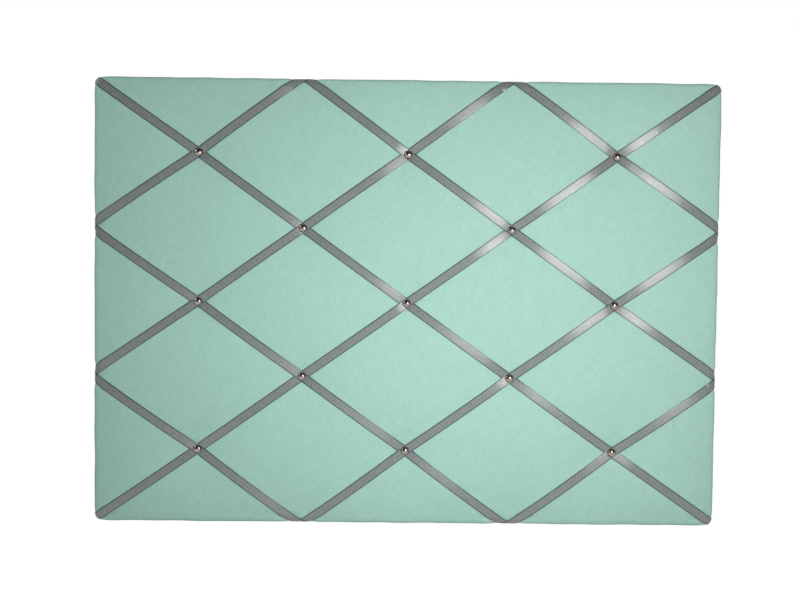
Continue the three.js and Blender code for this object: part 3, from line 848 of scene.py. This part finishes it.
def studTree(material):
    s = studMake
    tree, given, sizes = newTree("studs", (
        ("Head diameter", "Float", s["diameter"] * mm), ("Head height", "Float", s["height"] * mm),
        ("Rim", "Float", s["rim"] * mm), ("Shank diameter", "Float", s["shank"] * mm),
        ("Shank length", "Float", (s["under"] - s["tip"]) * mm), ("Metal", "Material", material),
    ))
    quarter = (math.pi / 2, 0, 0)
    # head: a ball drawn out to the dome in front and to the rim behind
    ball = addNode(
        tree, "GeometryNodeMeshUVSphere", {"Segments": s["segments"], "Rings": s["rings"], "Radius": 1.0},
    )
    turned = addNode(tree, "GeometryNodeTransform", {"Geometry": ball, "Rotation": quarter})
    position = addNode(tree, "GeometryNodeInputPosition")
    place = addNode(tree, "ShaderNodeSeparateXYZ", {0: position}).outputs
    radius = addNode(tree, "ShaderNodeMath", {0: given["Head diameter"], 1: 0.5}, operation="MULTIPLY")
    front = addNode(tree, "ShaderNodeMath", {0: place[1], 1: 0.0}, operation="LESS_THAN")
    lifts = {0: front, 2: given["Rim"], 3: given["Head height"]}
    high = addNode(tree, "ShaderNodeMix", lifts, data_type="FLOAT")
    spread = {
        k: addNode(tree, "ShaderNodeMath", {0: place[k], 1: size}, operation="MULTIPLY")
        for k, size in enumerate((radius, high, radius))
    }
    shape = addNode(tree, "ShaderNodeCombineXYZ", spread)
    head = addNode(tree, "GeometryNodeSetPosition", {"Geometry": turned, "Position": shape})
    # nail
    thin = addNode(tree, "ShaderNodeMath", {0: given["Shank diameter"], 1: 0.5}, operation="MULTIPLY")
    nail = addNode(
        tree, "GeometryNodeMeshCone",
        {
            "Vertices": s["shankSides"], "Side Segments": 1, "Depth": given["Shank length"],
            "Radius Top": thin, "Radius Bottom": s["point"] * mm,
        },
    )
    driven = addNode(tree, "ShaderNodeCombineXYZ", {1: given["Shank length"]})
    shank = addNode(
        tree, "GeometryNodeTransform", {"Geometry": nail, "Translation": driven, "Rotation": quarter},
    )
    whole = addNode(tree, "GeometryNodeJoinGeometry")
    for part in (shank, head):
        feed(tree, whole, {0: part})
    finishTree(tree, given, {"Instance": whole})
    return tree, sizes


def grown(name, points, tree, sizes, marks=None):
    # points carry a node tree's instances, made one plain mesh
    mesh = bpy.data.meshes.new(name)
    mesh.from_pydata((np.asarray(points, float) * mm).tolist(), [], [])
    for label, values in (marks or {}).items():
        mark = mesh.attributes.new(label, "FLOAT", "POINT")
        mark.data.foreach_set("value", np.asarray(values, np.float32))
    piece = bpy.data.objects.new(name, mesh)
    scene.collection.objects.link(piece)
    nodes = piece.modifiers.new(name, "NODES")
    nodes.node_group = tree
    for key, value in sizes.items():
        nodes[key] = value
    return baked(piece)


# Nickel-plated steel, polished: a hard bright mirror, slightly warm, with faint wear marks, and a darker rim
# painted in as the shade and dark reflection round the edge of the head.
def polishedNickel():
    material, tree, shader = newMaterial("polishedNickel")
    wearMark = 1.2 * mm
    coords = addNode(tree, "ShaderNodeTexCoord").outputs
    wear = addNode(
        tree, "ShaderNodeTexNoise", {"Vector": coords["Object"], "Scale": 1 / wearMark, "Detail": 4.0},
    )
    rough = addNode(tree, "ShaderNodeMapRange", {0: wear, 1: 0.35, 2: 0.75, 3: 0.2, 4: 0.3})
    tint = addNode(tree, "ShaderNodeValToRGB", {"Fac": wear})
    tint.color_ramp.elements[0].color = linear("#ab9f96")
    tint.color_ramp.elements[1].color = linear("#beb3aa")
    facing = addNode(tree, "ShaderNodeSeparateXYZ", {0: coords["Normal"]}).outputs[1]
    # it is -1 at the crown and 0 at the rim
    rim = addNode(tree, "ShaderNodeMapRange", {0: facing, 1: -0.76, 2: -0.3, 3: 0.0, 4: 1.0})
    # painted shade: the base colour is mixed to dark brown towards the head's rim
    paintedRimShade = addNode(tree, "ShaderNodeMix", {0: rim, 6: tint, 7: linear("#3d332e")}, data_type="RGBA")
    feed(tree, shader, {"Base Color": paintedRimShade.outputs[2], "Roughness": rough, "Metallic": 1.0})
    return material


studForm, studSizes = studTree(polishedNickel())
studPlaces = [(i * stepX, depthOf(studMake["under"]), j * stepZ) for i, j in studCells]
studs = grown("studs", studPlaces, studForm, studSizes)
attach(studs, "board")
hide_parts(*[f"stud_{k + 1:02d}" for k in range(len(studCells))])
print("studs:", len(studs.data.polygons), "faces")


# Lining: calico over the raw edges at the back, its own edge turned under and stapled

liningMake = dict(
    halfX=292.4, halfZ=205.4, corner=4.0, cell=5.0, thick=0.5,
    rimInset=1.0, turnUnder=12.0, foldTurns=(35, 70, 110, 145, 180), foldFlat=5.0, cornerGap=0.2,
    outer=-0.12,  # depth where it lies on the hem
    sag=0.7, sagOver=(34, 60),  # it falls behind the hem's raw edge, this far in from its own
    tailRise=0.22, tailOver=(3.5, 9),  # over the ribbon tails
    dimple=0.3, dimpleArea=45,  # at a staple
    flatX=12, flatZ=18, flatDrop=8, flatSink=0.1,  # flat under a hanger
    ripple=0.07, rippleOver=(10, 40),
    longX=61, longZ=47, startX=1.3, startZ=0.4, short=0.6, shortX=23, shortZ=31,  # its long and short waves
    cutShare=0.998,  # of the full rectangle, with its corners rounded
)
stapleMake = dict(
    crown=10.0, leg=5.0, wire=0.9, inset=5.0, spacing=58.0, lift=0.42,
    seed=7, skew=5.0,  # degrees either way
    bendSteps=3, wireSides=8,
)
hangers = dict(x=200.0, barZ=185.0, barY=2.4, leafTop=2.1, screwDrop=17.0)


def staplePlaces():
    # across, up and turn of each staple round the lining
    places = []
    hx, hz = liningMake["halfX"] - stapleMake["inset"], liningMake["halfZ"] - stapleMake["inset"]
    countX, countZ = round(2 * hx / stapleMake["spacing"]), round(2 * hz / stapleMake["spacing"])
    for sign in (1, -1):
        places += [((k + 0.5) / countX * 2 * hx - hx, sign * hz, 0.0) for k in range(countX)]
        places += [(sign * hx, (k + 0.5) / countZ * 2 * hz - hz, math.pi / 2) for k in range(countZ)]
    return np.array(places)


staplesAt = staplePlaces()
tailSteps = 13
tails = []  # points on the middle lines of the ribbon tails on the back
for end in ribbonEnds:
    for past in np.linspace(0, ribbonCut["tail"], tailSteps):
        place = end["origin"] + end["normal"] * (panel["reach"] - panel["backRound"] - past)
        place = place + end["tangent"] * (end["slope"] * (backLength + past - end["meet"]))
        tails.append(place)


def liningDepth(x, z):
    m = liningMake
    edge = np.minimum(m["halfX"] - np.abs(x), m["halfZ"] - np.abs(z))
    y = np.full(np.shape(x), m["outer"]) - m["sag"] * smoothStep(edge, *m["sagOver"])
    near = np.full(np.shape(x), farOff)
    for p in tails:
        near = np.minimum(near, np.hypot(x - p[0], z - p[1]))
    y = y + m["tailRise"] * (1 - smoothStep(near, *m["tailOver"]))
    for sx, sz, _ in staplesAt:
        y = y - m["dimple"] * np.exp(-((x - sx) ** 2 + (z - sz) ** 2) / m["dimpleArea"])
    for hx in (-hangers["x"], hangers["x"]):
        fromTop = z - hangers["barZ"] + m["flatDrop"]
        flat = np.exp(-(((x - hx) / m["flatX"]) ** 2 + (fromTop / m["flatZ"]) ** 4))
        y = y * (1 - flat) + flat * (m["outer"] - m["flatSink"])
    slow = np.sin(x / m["longX"] + m["startX"]) * np.sin(z / m["longZ"] + m["startZ"])
    slow = slow + m["short"] * np.sin(x / m["shortX"] - z / m["shortZ"])
    return y + m["ripple"] * slow * smoothStep(edge, *m["rippleOver"])


def liningMesh():
    m = liningMake
    hx, hz, corner = m["halfX"] - m["rimInset"], m["halfZ"] - m["rimInset"], m["corner"]
    nx, nz = round(2 * hx / m["cell"]), round(2 * hz / m["cell"])
    gx, gz = np.meshgrid(np.linspace(-hx, hx, nx + 1), np.linspace(-hz, hz, nz + 1))
    # the grid's corners are drawn in to a small radius
    ax, az = np.abs(gx) - (hx - corner), np.abs(gz) - (hz - corner)
    inCorner = (ax > 0) & (az > 0)
    scale = np.where(inCorner, np.maximum(ax, az) / np.maximum(np.hypot(ax, az), tiny), 1.0)
    px = np.where(inCorner, np.sign(gx) * (hx - corner + ax * scale), gx)
    pz = np.where(inCorner, np.sign(gz) * (hz - corner + az * scale), gz)
    y = liningDepth(px, pz)
    points = list(np.stack([px.ravel(), y.ravel(), pz.ravel()], 1))
    uvs = list(np.stack([gx.ravel(), gz.ravel()], 1))
    number = np.arange(gx.size).reshape(gx.shape)
    faces = [(a, d, c, b) for a, b, c, d in gridFaces(number)]  # it faces the wall
    border = list(number[0, :-1]) + list(number[:-1, -1]) + list(number[-1, :0:-1]) + list(number[:0:-1, 0])
    rings = [border]
    half = m["thick"] / 2
    fold = [(half * 2 * math.sin(t), half * (math.cos(t) - 1)) for t in np.radians(m["foldTurns"])]
    fold += [(-m["foldFlat"], -2 * half), (-m["turnUnder"], -2 * half)]
    for out, drop in fold:
        ring = []
        for p in border:
            x, depth, z = points[p]
            way = np.array([
                np.sign(x) if abs(x) > hx - corner else 0.0,
                np.sign(z) if abs(z) > hz - corner else 0.0,
            ])
            if way.all():
                way = np.array([x - np.sign(x) * (hx - corner), z - np.sign(z) * (hz - corner)])
                way = way / max(np.linalg.norm(way), tiny)
            reach = max(out, -corner + m["cornerGap"]) if way.all() else out
            ring.append(len(points))
            points.append((x + way[0] * reach, depth + drop, z + way[1] * reach))
            uvs.append((x + way[0] * abs(out), z + way[1] * abs(out)))
        rings.append(ring)
    return points, faces + bands(rings), np.array(uvs) * mm


# Unbleached calico: plain cream cotton with darker seed flecks, a visible plain weave and a dry matt face.
def calicoCotton():
    material, tree, shader = newMaterial("calicoCotton")
    weave = dict(thread=0.7, cloud=25, seed=1.6)  # mm; threads drawn coarser than the real 0.4
    flat = clothPlane(tree)
    over = plainWeave(tree, flat, weave["thread"], 0.8, 0.5)
    cloud = addNode(tree, "ShaderNodeTexNoise", {"Vector": flat, "Scale": 1 / weave["cloud"], "Detail": 4.0})
    tint = addNode(tree, "ShaderNodeValToRGB", {"Fac": cloud})
    tint.color_ramp.elements[0].color = linear("#dcd2bd")
    tint.color_ramp.elements[1].color = linear("#e8dfcd")
    seeds = addNode(tree, "ShaderNodeTexNoise", {"Vector": flat, "Scale": 1 / weave["seed"], "Detail": 1.0})
    fleck = addNode(tree, "ShaderNodeMapRange", {0: seeds, 1: 0.70, 2: 0.76, 3: 0.0, 4: 0.7})
    flecked = addNode(tree, "ShaderNodeMix", {0: fleck, 6: tint, 7: linear("#9a855f")}, data_type="RGBA")
    woven = addNode(
        tree, "ShaderNodeMix", {0: 0.22, 6: flecked.outputs[2], 7: over},
        data_type="RGBA", blend_type="SOFT_LIGHT",
    )
    bump = addNode(tree, "ShaderNodeBump", {"Strength": 0.35, "Distance": 0.0002, "Height": over})
    feed(tree, shader, {
        "Base Color": woven.outputs[2], "Normal": bump,
        "Roughness": 0.92, "Specular IOR Level": 0.2, "Sheen Weight": 0.08,
    })
    return material


liningPoints, liningFaces, liningUvs = liningMesh()
lining = facedOut(newPiece("lining", liningPoints, liningFaces, calicoCotton(), liningUvs))
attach(lining, "board")
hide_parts("back_lining")
print("lining:", len(lining.data.polygons), "faces")


# Zinc-plated steel: pale grey with a faint blue cast, satin bright, cloudier where the plating is thick.
def zincSteel():
    material, tree, shader = newMaterial("zincSteel")
    cloudSize, grainSize = 3 * mm, 0.4 * mm
    space = addNode(tree, "ShaderNodeTexCoord").outputs["Object"]
    cloud = addNode(tree, "ShaderNodeTexNoise", {"Vector": space, "Scale": 1 / cloudSize, "Detail": 5.0})
    grain = addNode(tree, "ShaderNodeTexNoise", {"Vector": space, "Scale": 1 / grainSize, "Detail": 2.0})
    tint = addNode(tree, "ShaderNodeValToRGB", {"Fac": cloud})
    tint.color_ramp.elements[0].color = linear("#b0b3b7")
    tint.color_ramp.elements[1].color = linear("#c3c6c8")
    rough = addNode(tree, "ShaderNodeMapRange", {0: cloud, 1: 0.3, 2: 0.7, 3: 0.28, 4: 0.36})
    bump = addNode(tree, "ShaderNodeBump", {"Strength": 0.12, "Distance": 0.00005, "Height": grain})
    feed(tree, shader, {"Base Color": tint, "Roughness": rough, "Normal": bump, "Metallic": 1.0})
    return material


zinc = zincSteel()


# Staples round the lining

def stapleTree(material):
    s = stapleMake
    tree, given, sizes = newTree("staples", (
        ("Crown", "Float", s["crown"] * mm), ("Leg", "Float", s["leg"] * mm),
        ("Wire", "Float", s["wire"] * mm), ("Skew", "Float", math.radians(s["skew"])),
        ("Seed", "Int", s["seed"]), ("Metal", "Material", material),
    ))
    # four points: leg, crown, leg
    pointCount, middlePoint = 4, 1.5
    line = addNode(tree, "GeometryNodeMeshLine", {"Count": pointCount})
    index = addNode(tree, "GeometryNodeInputIndex")
    right = addNode(tree, "ShaderNodeMath", {0: index, 1: middlePoint}, operation="GREATER_THAN")
    side = addNode(tree, "ShaderNodeMath", {0: right, 1: 0.5}, operation="SUBTRACT")
    x = addNode(tree, "ShaderNodeMath", {0: side, 1: given["Crown"]}, operation="MULTIPLY")
    past = addNode(tree, "ShaderNodeMath", {0: index, 1: middlePoint}, operation="SUBTRACT")
    fromMiddle = addNode(tree, "ShaderNodeMath", {0: past}, operation="ABSOLUTE")
    isLeg = addNode(tree, "ShaderNodeMath", {0: fromMiddle, 1: 1.0}, operation="GREATER_THAN")
    leg = addNode(tree, "ShaderNodeMath", {0: isLeg, 1: given["Leg"]}, operation="MULTIPLY")
    y = addNode(tree, "ShaderNodeMath", {0: 0.0, 1: leg}, operation="SUBTRACT")
    where = addNode(tree, "ShaderNodeCombineXYZ", {0: x, 1: y})
    bent = addNode(tree, "GeometryNodeSetPosition", {"Geometry": line, "Position": where})
    # round wire along them, with bent corners
    path = addNode(tree, "GeometryNodeMeshToCurve", {"Mesh": bent})
    soft = addNode(tree, "GeometryNodeFilletCurve", {"Curve": path})
    circle = addNode(tree, "GeometryNodeCurvePrimitiveCircle", {"Resolution": s["wireSides"]})
    thin = addNode(tree, "ShaderNodeMath", {0: given["Wire"], 1: 0.5}, operation="MULTIPLY")
    for node, radius in ((soft, given["Wire"]), (circle, thin.outputs[0])):
        for socket in node.inputs:
            if socket.name == "Radius":
                tree.links.new(radius, socket)
            elif socket.name == "Count":
                socket.default_value = s["bendSteps"]
    wire = addNode(
        tree, "GeometryNodeCurveToMesh", {"Curve": soft, "Profile Curve": circle, "Fill Caps": True},
    )
    # each turned to its edge, and a little askew
    turn = addNode(tree, "GeometryNodeInputNamedAttribute", {"Name": "turn"}, data_type="FLOAT")
    least = addNode(tree, "ShaderNodeMath", {0: 0.0, 1: given["Skew"]}, operation="SUBTRACT")
    limits = {2: least, 3: given["Skew"], "Seed": given["Seed"]}
    skew = addNode(tree, "FunctionNodeRandomValue", limits, data_type="FLOAT").outputs[1]
    total = addNode(tree, "ShaderNodeMath", {0: turn, 1: skew}, operation="ADD")
    spin = addNode(tree, "ShaderNodeCombineXYZ", {1: total})
    finishTree(tree, given, {"Instance": wire, "Rotation": spin})
    return tree, sizes


stapleForm, stapleSizes = stapleTree(zinc)
stapleY = liningDepth(staplesAt[:, 0], staplesAt[:, 1]) + stapleMake["lift"]
staplePoints = np.stack([staplesAt[:, 0], stapleY, staplesAt[:, 1]], 1)
staples = grown("staples", staplePoints, stapleForm, stapleSizes, {"turn": -staplesAt[:, 2]})
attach(staples, "board")
print("staples:", len(staplesAt))


# Hangers: a folded strap, a screw and a D-shaped ring on each side

hangerMake = dict(
    gap=0.3, metal=0.8,
    strapWidth=9.0, strapLength=22.0, eyeInner=1.3, rolled=0.18, leastHalf=0.3,
    lip=-50, jog=5.0, leafEnd=-1.0,  # where the eye closes, in degrees, and where the leaves leave it
    endSteps=12, leafSteps=14, eyeSteps=30, frontSteps=12, strapSharp=40,
    ringWire=2.0, ringWidth=16.0, ringLeg=4.5, ringCorner=2.5,
    cornerSteps=8, bowSteps=40, barSteps=8, wireSides=14,
)
screwMake = dict(
    head=6.4, height=2.0, wire=3.0, tip=-9.7, taper=3.0,
    bevel=0.15, rimLow=0.2, rimHigh=0.5, domeTurns=(15, 30, 45, 60, 75), sides=32, sharp=35,
    recessWide=1.7, recessSlim=0.42, recessNarrow=0.55, recessFloor=0.55, recessAbove=0.4,
)


def strapMesh(x):
    h = hangerMake
    mid = h["eyeInner"] + h["metal"] / 2
    inner, outer = h["gap"] + h["metal"] / 2, hangers["leafTop"] - h["metal"] / 2
    half, t, soft = h["strapWidth"] / 2, h["metal"] / 2, h["rolled"]
    endFrom = -h["strapLength"] + half  # where the round end starts
    ends = list(endFrom - half * np.cos(np.radians(np.linspace(0, 90, h["endSteps"]))))
    back = ends + list(np.linspace(endFrom, h["leafEnd"], h["leafSteps"])[1:])
    front = list(np.linspace(-h["jog"], endFrom, h["frontSteps"])[:-1]) + ends[::-1]
    turns = np.radians(np.linspace(180, h["lip"], h["eyeSteps"]))
    path = [(inner, z) for z in back]
    path += [(hangers["barY"] + mid * math.cos(a), mid * math.sin(a)) for a in turns]
    path += [(outer, z) for z in front]
    path = np.array(path)
    run = np.gradient(path, axis=0)
    run /= np.linalg.norm(run, axis=1, keepdims=True)
    normal = np.stack([-run[:, 1], run[:, 0]], 1)
    points, rings = [], []
    for (y, z), (ny, nz) in zip(path, normal):
        wide = half
        if z < endFrom:
            wide = math.sqrt(max(half ** 2 - (endFrom - z) ** 2, h["leastHalf"] ** 2))
        section = (
            (-wide, -t + soft), (-wide + soft, -t), (wide - soft, -t), (wide, -t + soft),
            (wide, t - soft), (wide - soft, t), (-wide + soft, t), (-wide, t - soft),
        )
        rings.append(list(range(len(points), len(points) + len(section))))
        points += [(x + a, y + ny * b, hangers["barZ"] + z + nz * b) for a, b in section]
    return points, bands(rings) + [tuple(rings[0]), tuple(rings[-1][::-1])]


def ringMesh(x):
    h = hangerMake
    half, corner, leg, wire = h["ringWidth"] / 2, h["ringCorner"], h["ringLeg"], h["ringWire"] / 2

    def arc(cx, cz, r, a, b, n):
        return [(cx + r * math.cos(t), cz + r * math.sin(t)) for t in np.radians(np.linspace(a, b, n))]

    path = arc(half - corner, corner, corner, -90, 0, h["cornerSteps"])
    path += arc(0, leg, half, 0, 180, h["bowSteps"])
    path += arc(corner - half, corner, corner, 180, 270, h["cornerSteps"])
    path += [(t, 0.0) for t in np.linspace(corner - half, half - corner, h["barSteps"])[1:-1]]
    path = np.array(path)
    run = np.roll(path, -1, 0) - np.roll(path, 1, 0)
    run /= np.linalg.norm(run, axis=1, keepdims=True)
    lean = math.asin((hangers["barY"] - h["gap"] - wire) / (leg + half))  # its bow lies on the lining
    points, rings = [], []
    for (px, pz), (tx, tz) in zip(path, run):
        rings.append(list(range(len(points), len(points) + h["wireSides"])))
        for t in np.linspace(0, 2 * math.pi, h["wireSides"], endpoint=False):
            out, deep = wire * math.cos(t), wire * math.sin(t)
            qx, qz = px + tz * out, pz - tx * out
            y = hangers["barY"] + deep * math.cos(lean) - qz * math.sin(lean)
            points.append((x + qx, y, hangers["barZ"] + qz * math.cos(lean) + deep * math.sin(lean)))
    return points, bands(rings + [rings[0]])


def recessTool(x, z, top, low):
    # two crossed wedges that cut a screw's recess
    boxFaces = ((0, 1, 2, 3), (7, 6, 5, 4), (0, 4, 5, 1), (1, 5, 6, 2), (2, 6, 7, 3), (3, 7, 4, 0))
    wide, slim = screwMake["recessWide"], screwMake["recessSlim"]
    cutter = bmesh.new()
    for turn in (0, math.pi / 2):
        made = []
        for y, s in ((top, 1.0), (low, screwMake["recessNarrow"])):
            for a, b in ((-wide, -slim), (wide, -slim), (wide, slim), (-wide, slim)):
                px = x + a * s * math.cos(turn) - b * s * math.sin(turn)
                pz = z + a * s * math.sin(turn) + b * s * math.cos(turn)
                made.append(cutter.verts.new((px * mm, y * mm, pz * mm)))
        for f in boxFaces:
            cutter.faces.new([made[k] for k in f])
    bmesh.ops.recalc_face_normals(cutter, faces=cutter.faces)
    mesh = bpy.data.meshes.new("recess")
    cutter.to_mesh(mesh)
    cutter.free()
    tool = bpy.data.objects.new("recess", mesh)
    scene.collection.objects.link(tool)
    return tool


def screwPiece(name, x, material):
    s = screwMake
    head, high, thin = s["head"] / 2, s["height"], s["wire"] / 2
    under, z = hangers["leafTop"], hangers["barZ"] - hangers["screwDrop"]
    dome = high - (s["rimHigh"] - s["rimLow"])
    profile = [(0.0, s["tip"]), (thin, s["tip"] + s["taper"]), (thin, under)]
    profile += [(head - s["bevel"], under), (head, under + s["rimLow"]), (head, under + s["rimHigh"])]
    for t in np.radians(s["domeTurns"]):
        profile.append((head * math.cos(t), under + s["rimHigh"] + dome * math.sin(t)))
    profile.append((0.0, under + s["rimLow"] + high))
    points, rings = [], []
    for r, y in profile:
        rings.append(list(range(len(points), len(points) + s["sides"])))
        for t in np.linspace(0, 2 * math.pi, s["sides"], endpoint=False):
            points.append((x + r * math.cos(t), y, z + r * math.sin(t)))
    piece = facedOut(newPiece(name, points, bands(rings), material))
    tool = recessTool(x, z, under + s["recessAbove"] + high, under + s["recessFloor"])
    cut = piece.modifiers.new("recess", "BOOLEAN")
    cut.operation, cut.solver, cut.use_self = "DIFFERENCE", "EXACT", True
    cut.object = tool
    baked(piece)
    bpy.data.objects.remove(tool)
    piece.data.shade_smooth()
    piece.data.set_sharp_from_angle(angle=math.radians(s["sharp"]))
    return piece


for side, x in (("left", -hangers["x"]), ("right", hangers["x"])):
    strap = facedOut(newPiece(f"strap_{side}", *strapMesh(x), zinc))
    strap.data.shade_smooth()
    strap.data.set_sharp_from_angle(angle=math.radians(hangerMake["strapSharp"]))
    screw = screwPiece(f"screw_{side}", x, zinc)
    ring = facedOut(newPiece(f"ring_{side}", *ringMesh(x), zinc))
    for piece, node, body in (
        (strap, "hanger_strap", "board"), (screw, "hanger_screw", "board"), (ring, "d_ring", f"{side}_ring"),
    ):
        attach(piece, body)
        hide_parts(f"{node}_{side}")
print("hangers: strap, screw and ring on each side")


# Medium density fibreboard: pressed wood dust, tan and matt, with fine pale and dark fibres.
def fibreBoard():
    material, tree, shader = newMaterial("fibreBoard")
    fibreLength = 1.5 * mm
    space = addNode(tree, "ShaderNodeTexCoord").outputs["Object"]
    fibre = addNode(
        tree, "ShaderNodeTexNoise",
        {"Vector": space, "Scale": 1 / fibreLength, "Detail": 6.0, "Roughness": 0.7},
    )
    tint = addNode(tree, "ShaderNodeValToRGB", {"Fac": fibre})
    tint.color_ramp.elements[0].position, tint.color_ramp.elements[1].position = 0.3, 0.7
    tint.color_ramp.elements[0].color = linear("#8d7050")
    tint.color_ramp.elements[1].color = linear("#b89a75")
    bump = addNode(tree, "ShaderNodeBump", {"Strength": 0.2, "Distance": 0.0001, "Height": fibre})
    feed(tree, shader, {"Base Color": tint, "Normal": bump, "Roughness": 0.8})
    return material


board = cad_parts["backing_board"]
board.data.materials.clear()
board.data.materials.append(fibreBoard())


# Stage: a pale floor well below the board that turns white further off, and a white backdrop with a dim room
# in front of it for the metal and the satin to mirror. A key lamp stands at the front right, a weaker one
# straight in front, which isn't mirrored, a cool one at the left, and one behind for the back. Places are in
# metres.

stageMake = dict(
    floor=-1.1, floorSize=7.0, fade=(1.3, 2.6), glow=0.45,
    ambient=0.22, roomLow=0.5, roomHigh=0.04, roomSpan=(-0.7, 0.2), behindSpan=(0.05, 0.3),
)
lamps = [
    dict(
        name="keyLamp", place=(0.30, -0.72, 0.10), target=(0.06, 0, -0.02),
        size=0.26, power=2.3, tint="#fffefa", mirrored=True,
    ),
    dict(
        name="frontLamp", place=(0.03, -0.44, -0.03), target=(0.03, 0, -0.03),
        size=0.3, power=0.86, tint="#fafdff", mirrored=False,
    ),
    dict(
        name="sideLamp", place=(-1.15, -0.35, 0.62), target=(0, 0, 0),
        size=0.42, power=2.2, tint="#e8f4ff", mirrored=True,
    ),
    dict(
        name="rearLamp", place=(-0.35, 1.0, 0.5), target=(0, 0, 0),
        size=0.8, power=9.0, tint="#ffffff", mirrored=True,
    ),
]


def aimed(obj, place, target, roll=0.0):
    ahead = (Vector(target) - Vector(place)).normalized()
    facing = ahead.to_track_quat("-Z", "Y").to_matrix().to_4x4()
    obj.matrix_world = Matrix.Translation(place) @ facing @ Matrix.Rotation(math.radians(roll), 4, "Z")


def studioWorld():
    world = bpy.data.worlds.new("studio")
    scene.world = world
    world.use_nodes = True
    tree = world.node_tree
    tree.nodes.clear()
    ray = addNode(tree, "ShaderNodeLightPath").outputs
    way = addNode(tree, "ShaderNodeTexCoord").outputs["Generated"]
    apart = addNode(tree, "ShaderNodeSeparateXYZ", {0: way}).outputs
    low, high = stageMake["roomSpan"]
    levels = {0: apart[2], 1: low, 2: high, 3: stageMake["roomLow"], 4: stageMake["roomHigh"]}
    room = addNode(tree, "ShaderNodeMapRange", levels)
    near, far = stageMake["behindSpan"]
    behind = addNode(tree, "ShaderNodeMapRange", {0: apart[1], 1: near, 2: far, 3: room, 4: 1.0})
    white, mirrored, soft = (
        addNode(tree, "ShaderNodeBackground", {"Color": (1, 1, 1, 1), "Strength": strength})
        for strength in (1.0, behind, stageMake["ambient"])
    )
    glossy = addNode(tree, "ShaderNodeMixShader", {0: ray["Is Glossy Ray"], 1: soft, 2: mirrored})
    straight = {0: ray["Is Camera Ray"], 1: ray["Is Transmission Ray"]}
    plain = addNode(tree, "ShaderNodeMath", straight, operation="MAXIMUM")
    seen = addNode(tree, "ShaderNodeMixShader", {0: plain, 1: glossy, 2: white})
    addNode(tree, "ShaderNodeOutputWorld", {0: seen})


def paleFloor():
    material, tree, shader = newMaterial("paleFloor")
    ray = addNode(tree, "ShaderNodeLightPath").outputs
    space = addNode(tree, "ShaderNodeTexCoord").outputs["Object"]
    middle = addNode(tree, "ShaderNodeMapping", {"Vector": space, "Scale": (1, 1, 0)})
    away = addNode(tree, "ShaderNodeVectorMath", {0: middle}, operation="LENGTH").outputs["Value"]
    near, far = stageMake["fade"]
    level = addNode(tree, "ShaderNodeMapRange", {0: away, 1: near, 2: far, 3: stageMake["glow"], 4: 1.0})
    seen = ray["Is Camera Ray"]
    for kind in ("Is Glossy Ray", "Is Transmission Ray"):
        seen = addNode(tree, "ShaderNodeMath", {0: seen, 1: ray[kind]}, operation="MAXIMUM")
    glow = addNode(tree, "ShaderNodeMath", {0: seen, 1: level}, operation="MULTIPLY")
    feed(tree, shader, {
        "Base Color": linear("#e9e9e7"), "Roughness": 0.9,
        "Emission Color": (1, 1, 1, 1), "Emission Strength": glow,
    })
    half, z = stageMake["floorSize"] / 2 / mm, stageMake["floor"] / mm
    corners = [(-half, -half, z), (half, -half, z), (half, half, z), (-half, half, z)]
    floor = newPiece("floor", corners, [(0, 1, 2, 3)], material)


studioWorld()
paleFloor()
for lamp in lamps:
    data = bpy.data.lights.new(lamp["name"], "AREA")
    data.shape, data.size, data.energy = "DISK", lamp["size"], lamp["power"]
    data.color = linear(lamp["tint"])[:3]
    light = bpy.data.objects.new(lamp["name"], data)
    scene.collection.objects.link(light)
    light.visible_camera = False
    light.visible_glossy = lamp["mirrored"]
    aimed(light, lamp["place"], lamp["target"])

cameraMake = dict(
    place=(-0.0186, -1.2097, 0.0629), target=(-0.00624, 0.0, 0.00684), roll=0.659,
    lens=55.458, sensor=36.0,
)
cameraData = bpy.data.cameras.new("camera")
cameraData.lens = cameraMake["lens"]
cameraData.sensor_width, cameraData.sensor_fit = cameraMake["sensor"], "HORIZONTAL"
camera = bpy.data.objects.new("camera", cameraData)
scene.collection.objects.link(camera)
aimed(camera, cameraMake["place"], cameraMake["target"], cameraMake["roll"])
scene.camera = camera
scene.view_settings.view_transform = "Standard"
print("stage, lamps and camera set")
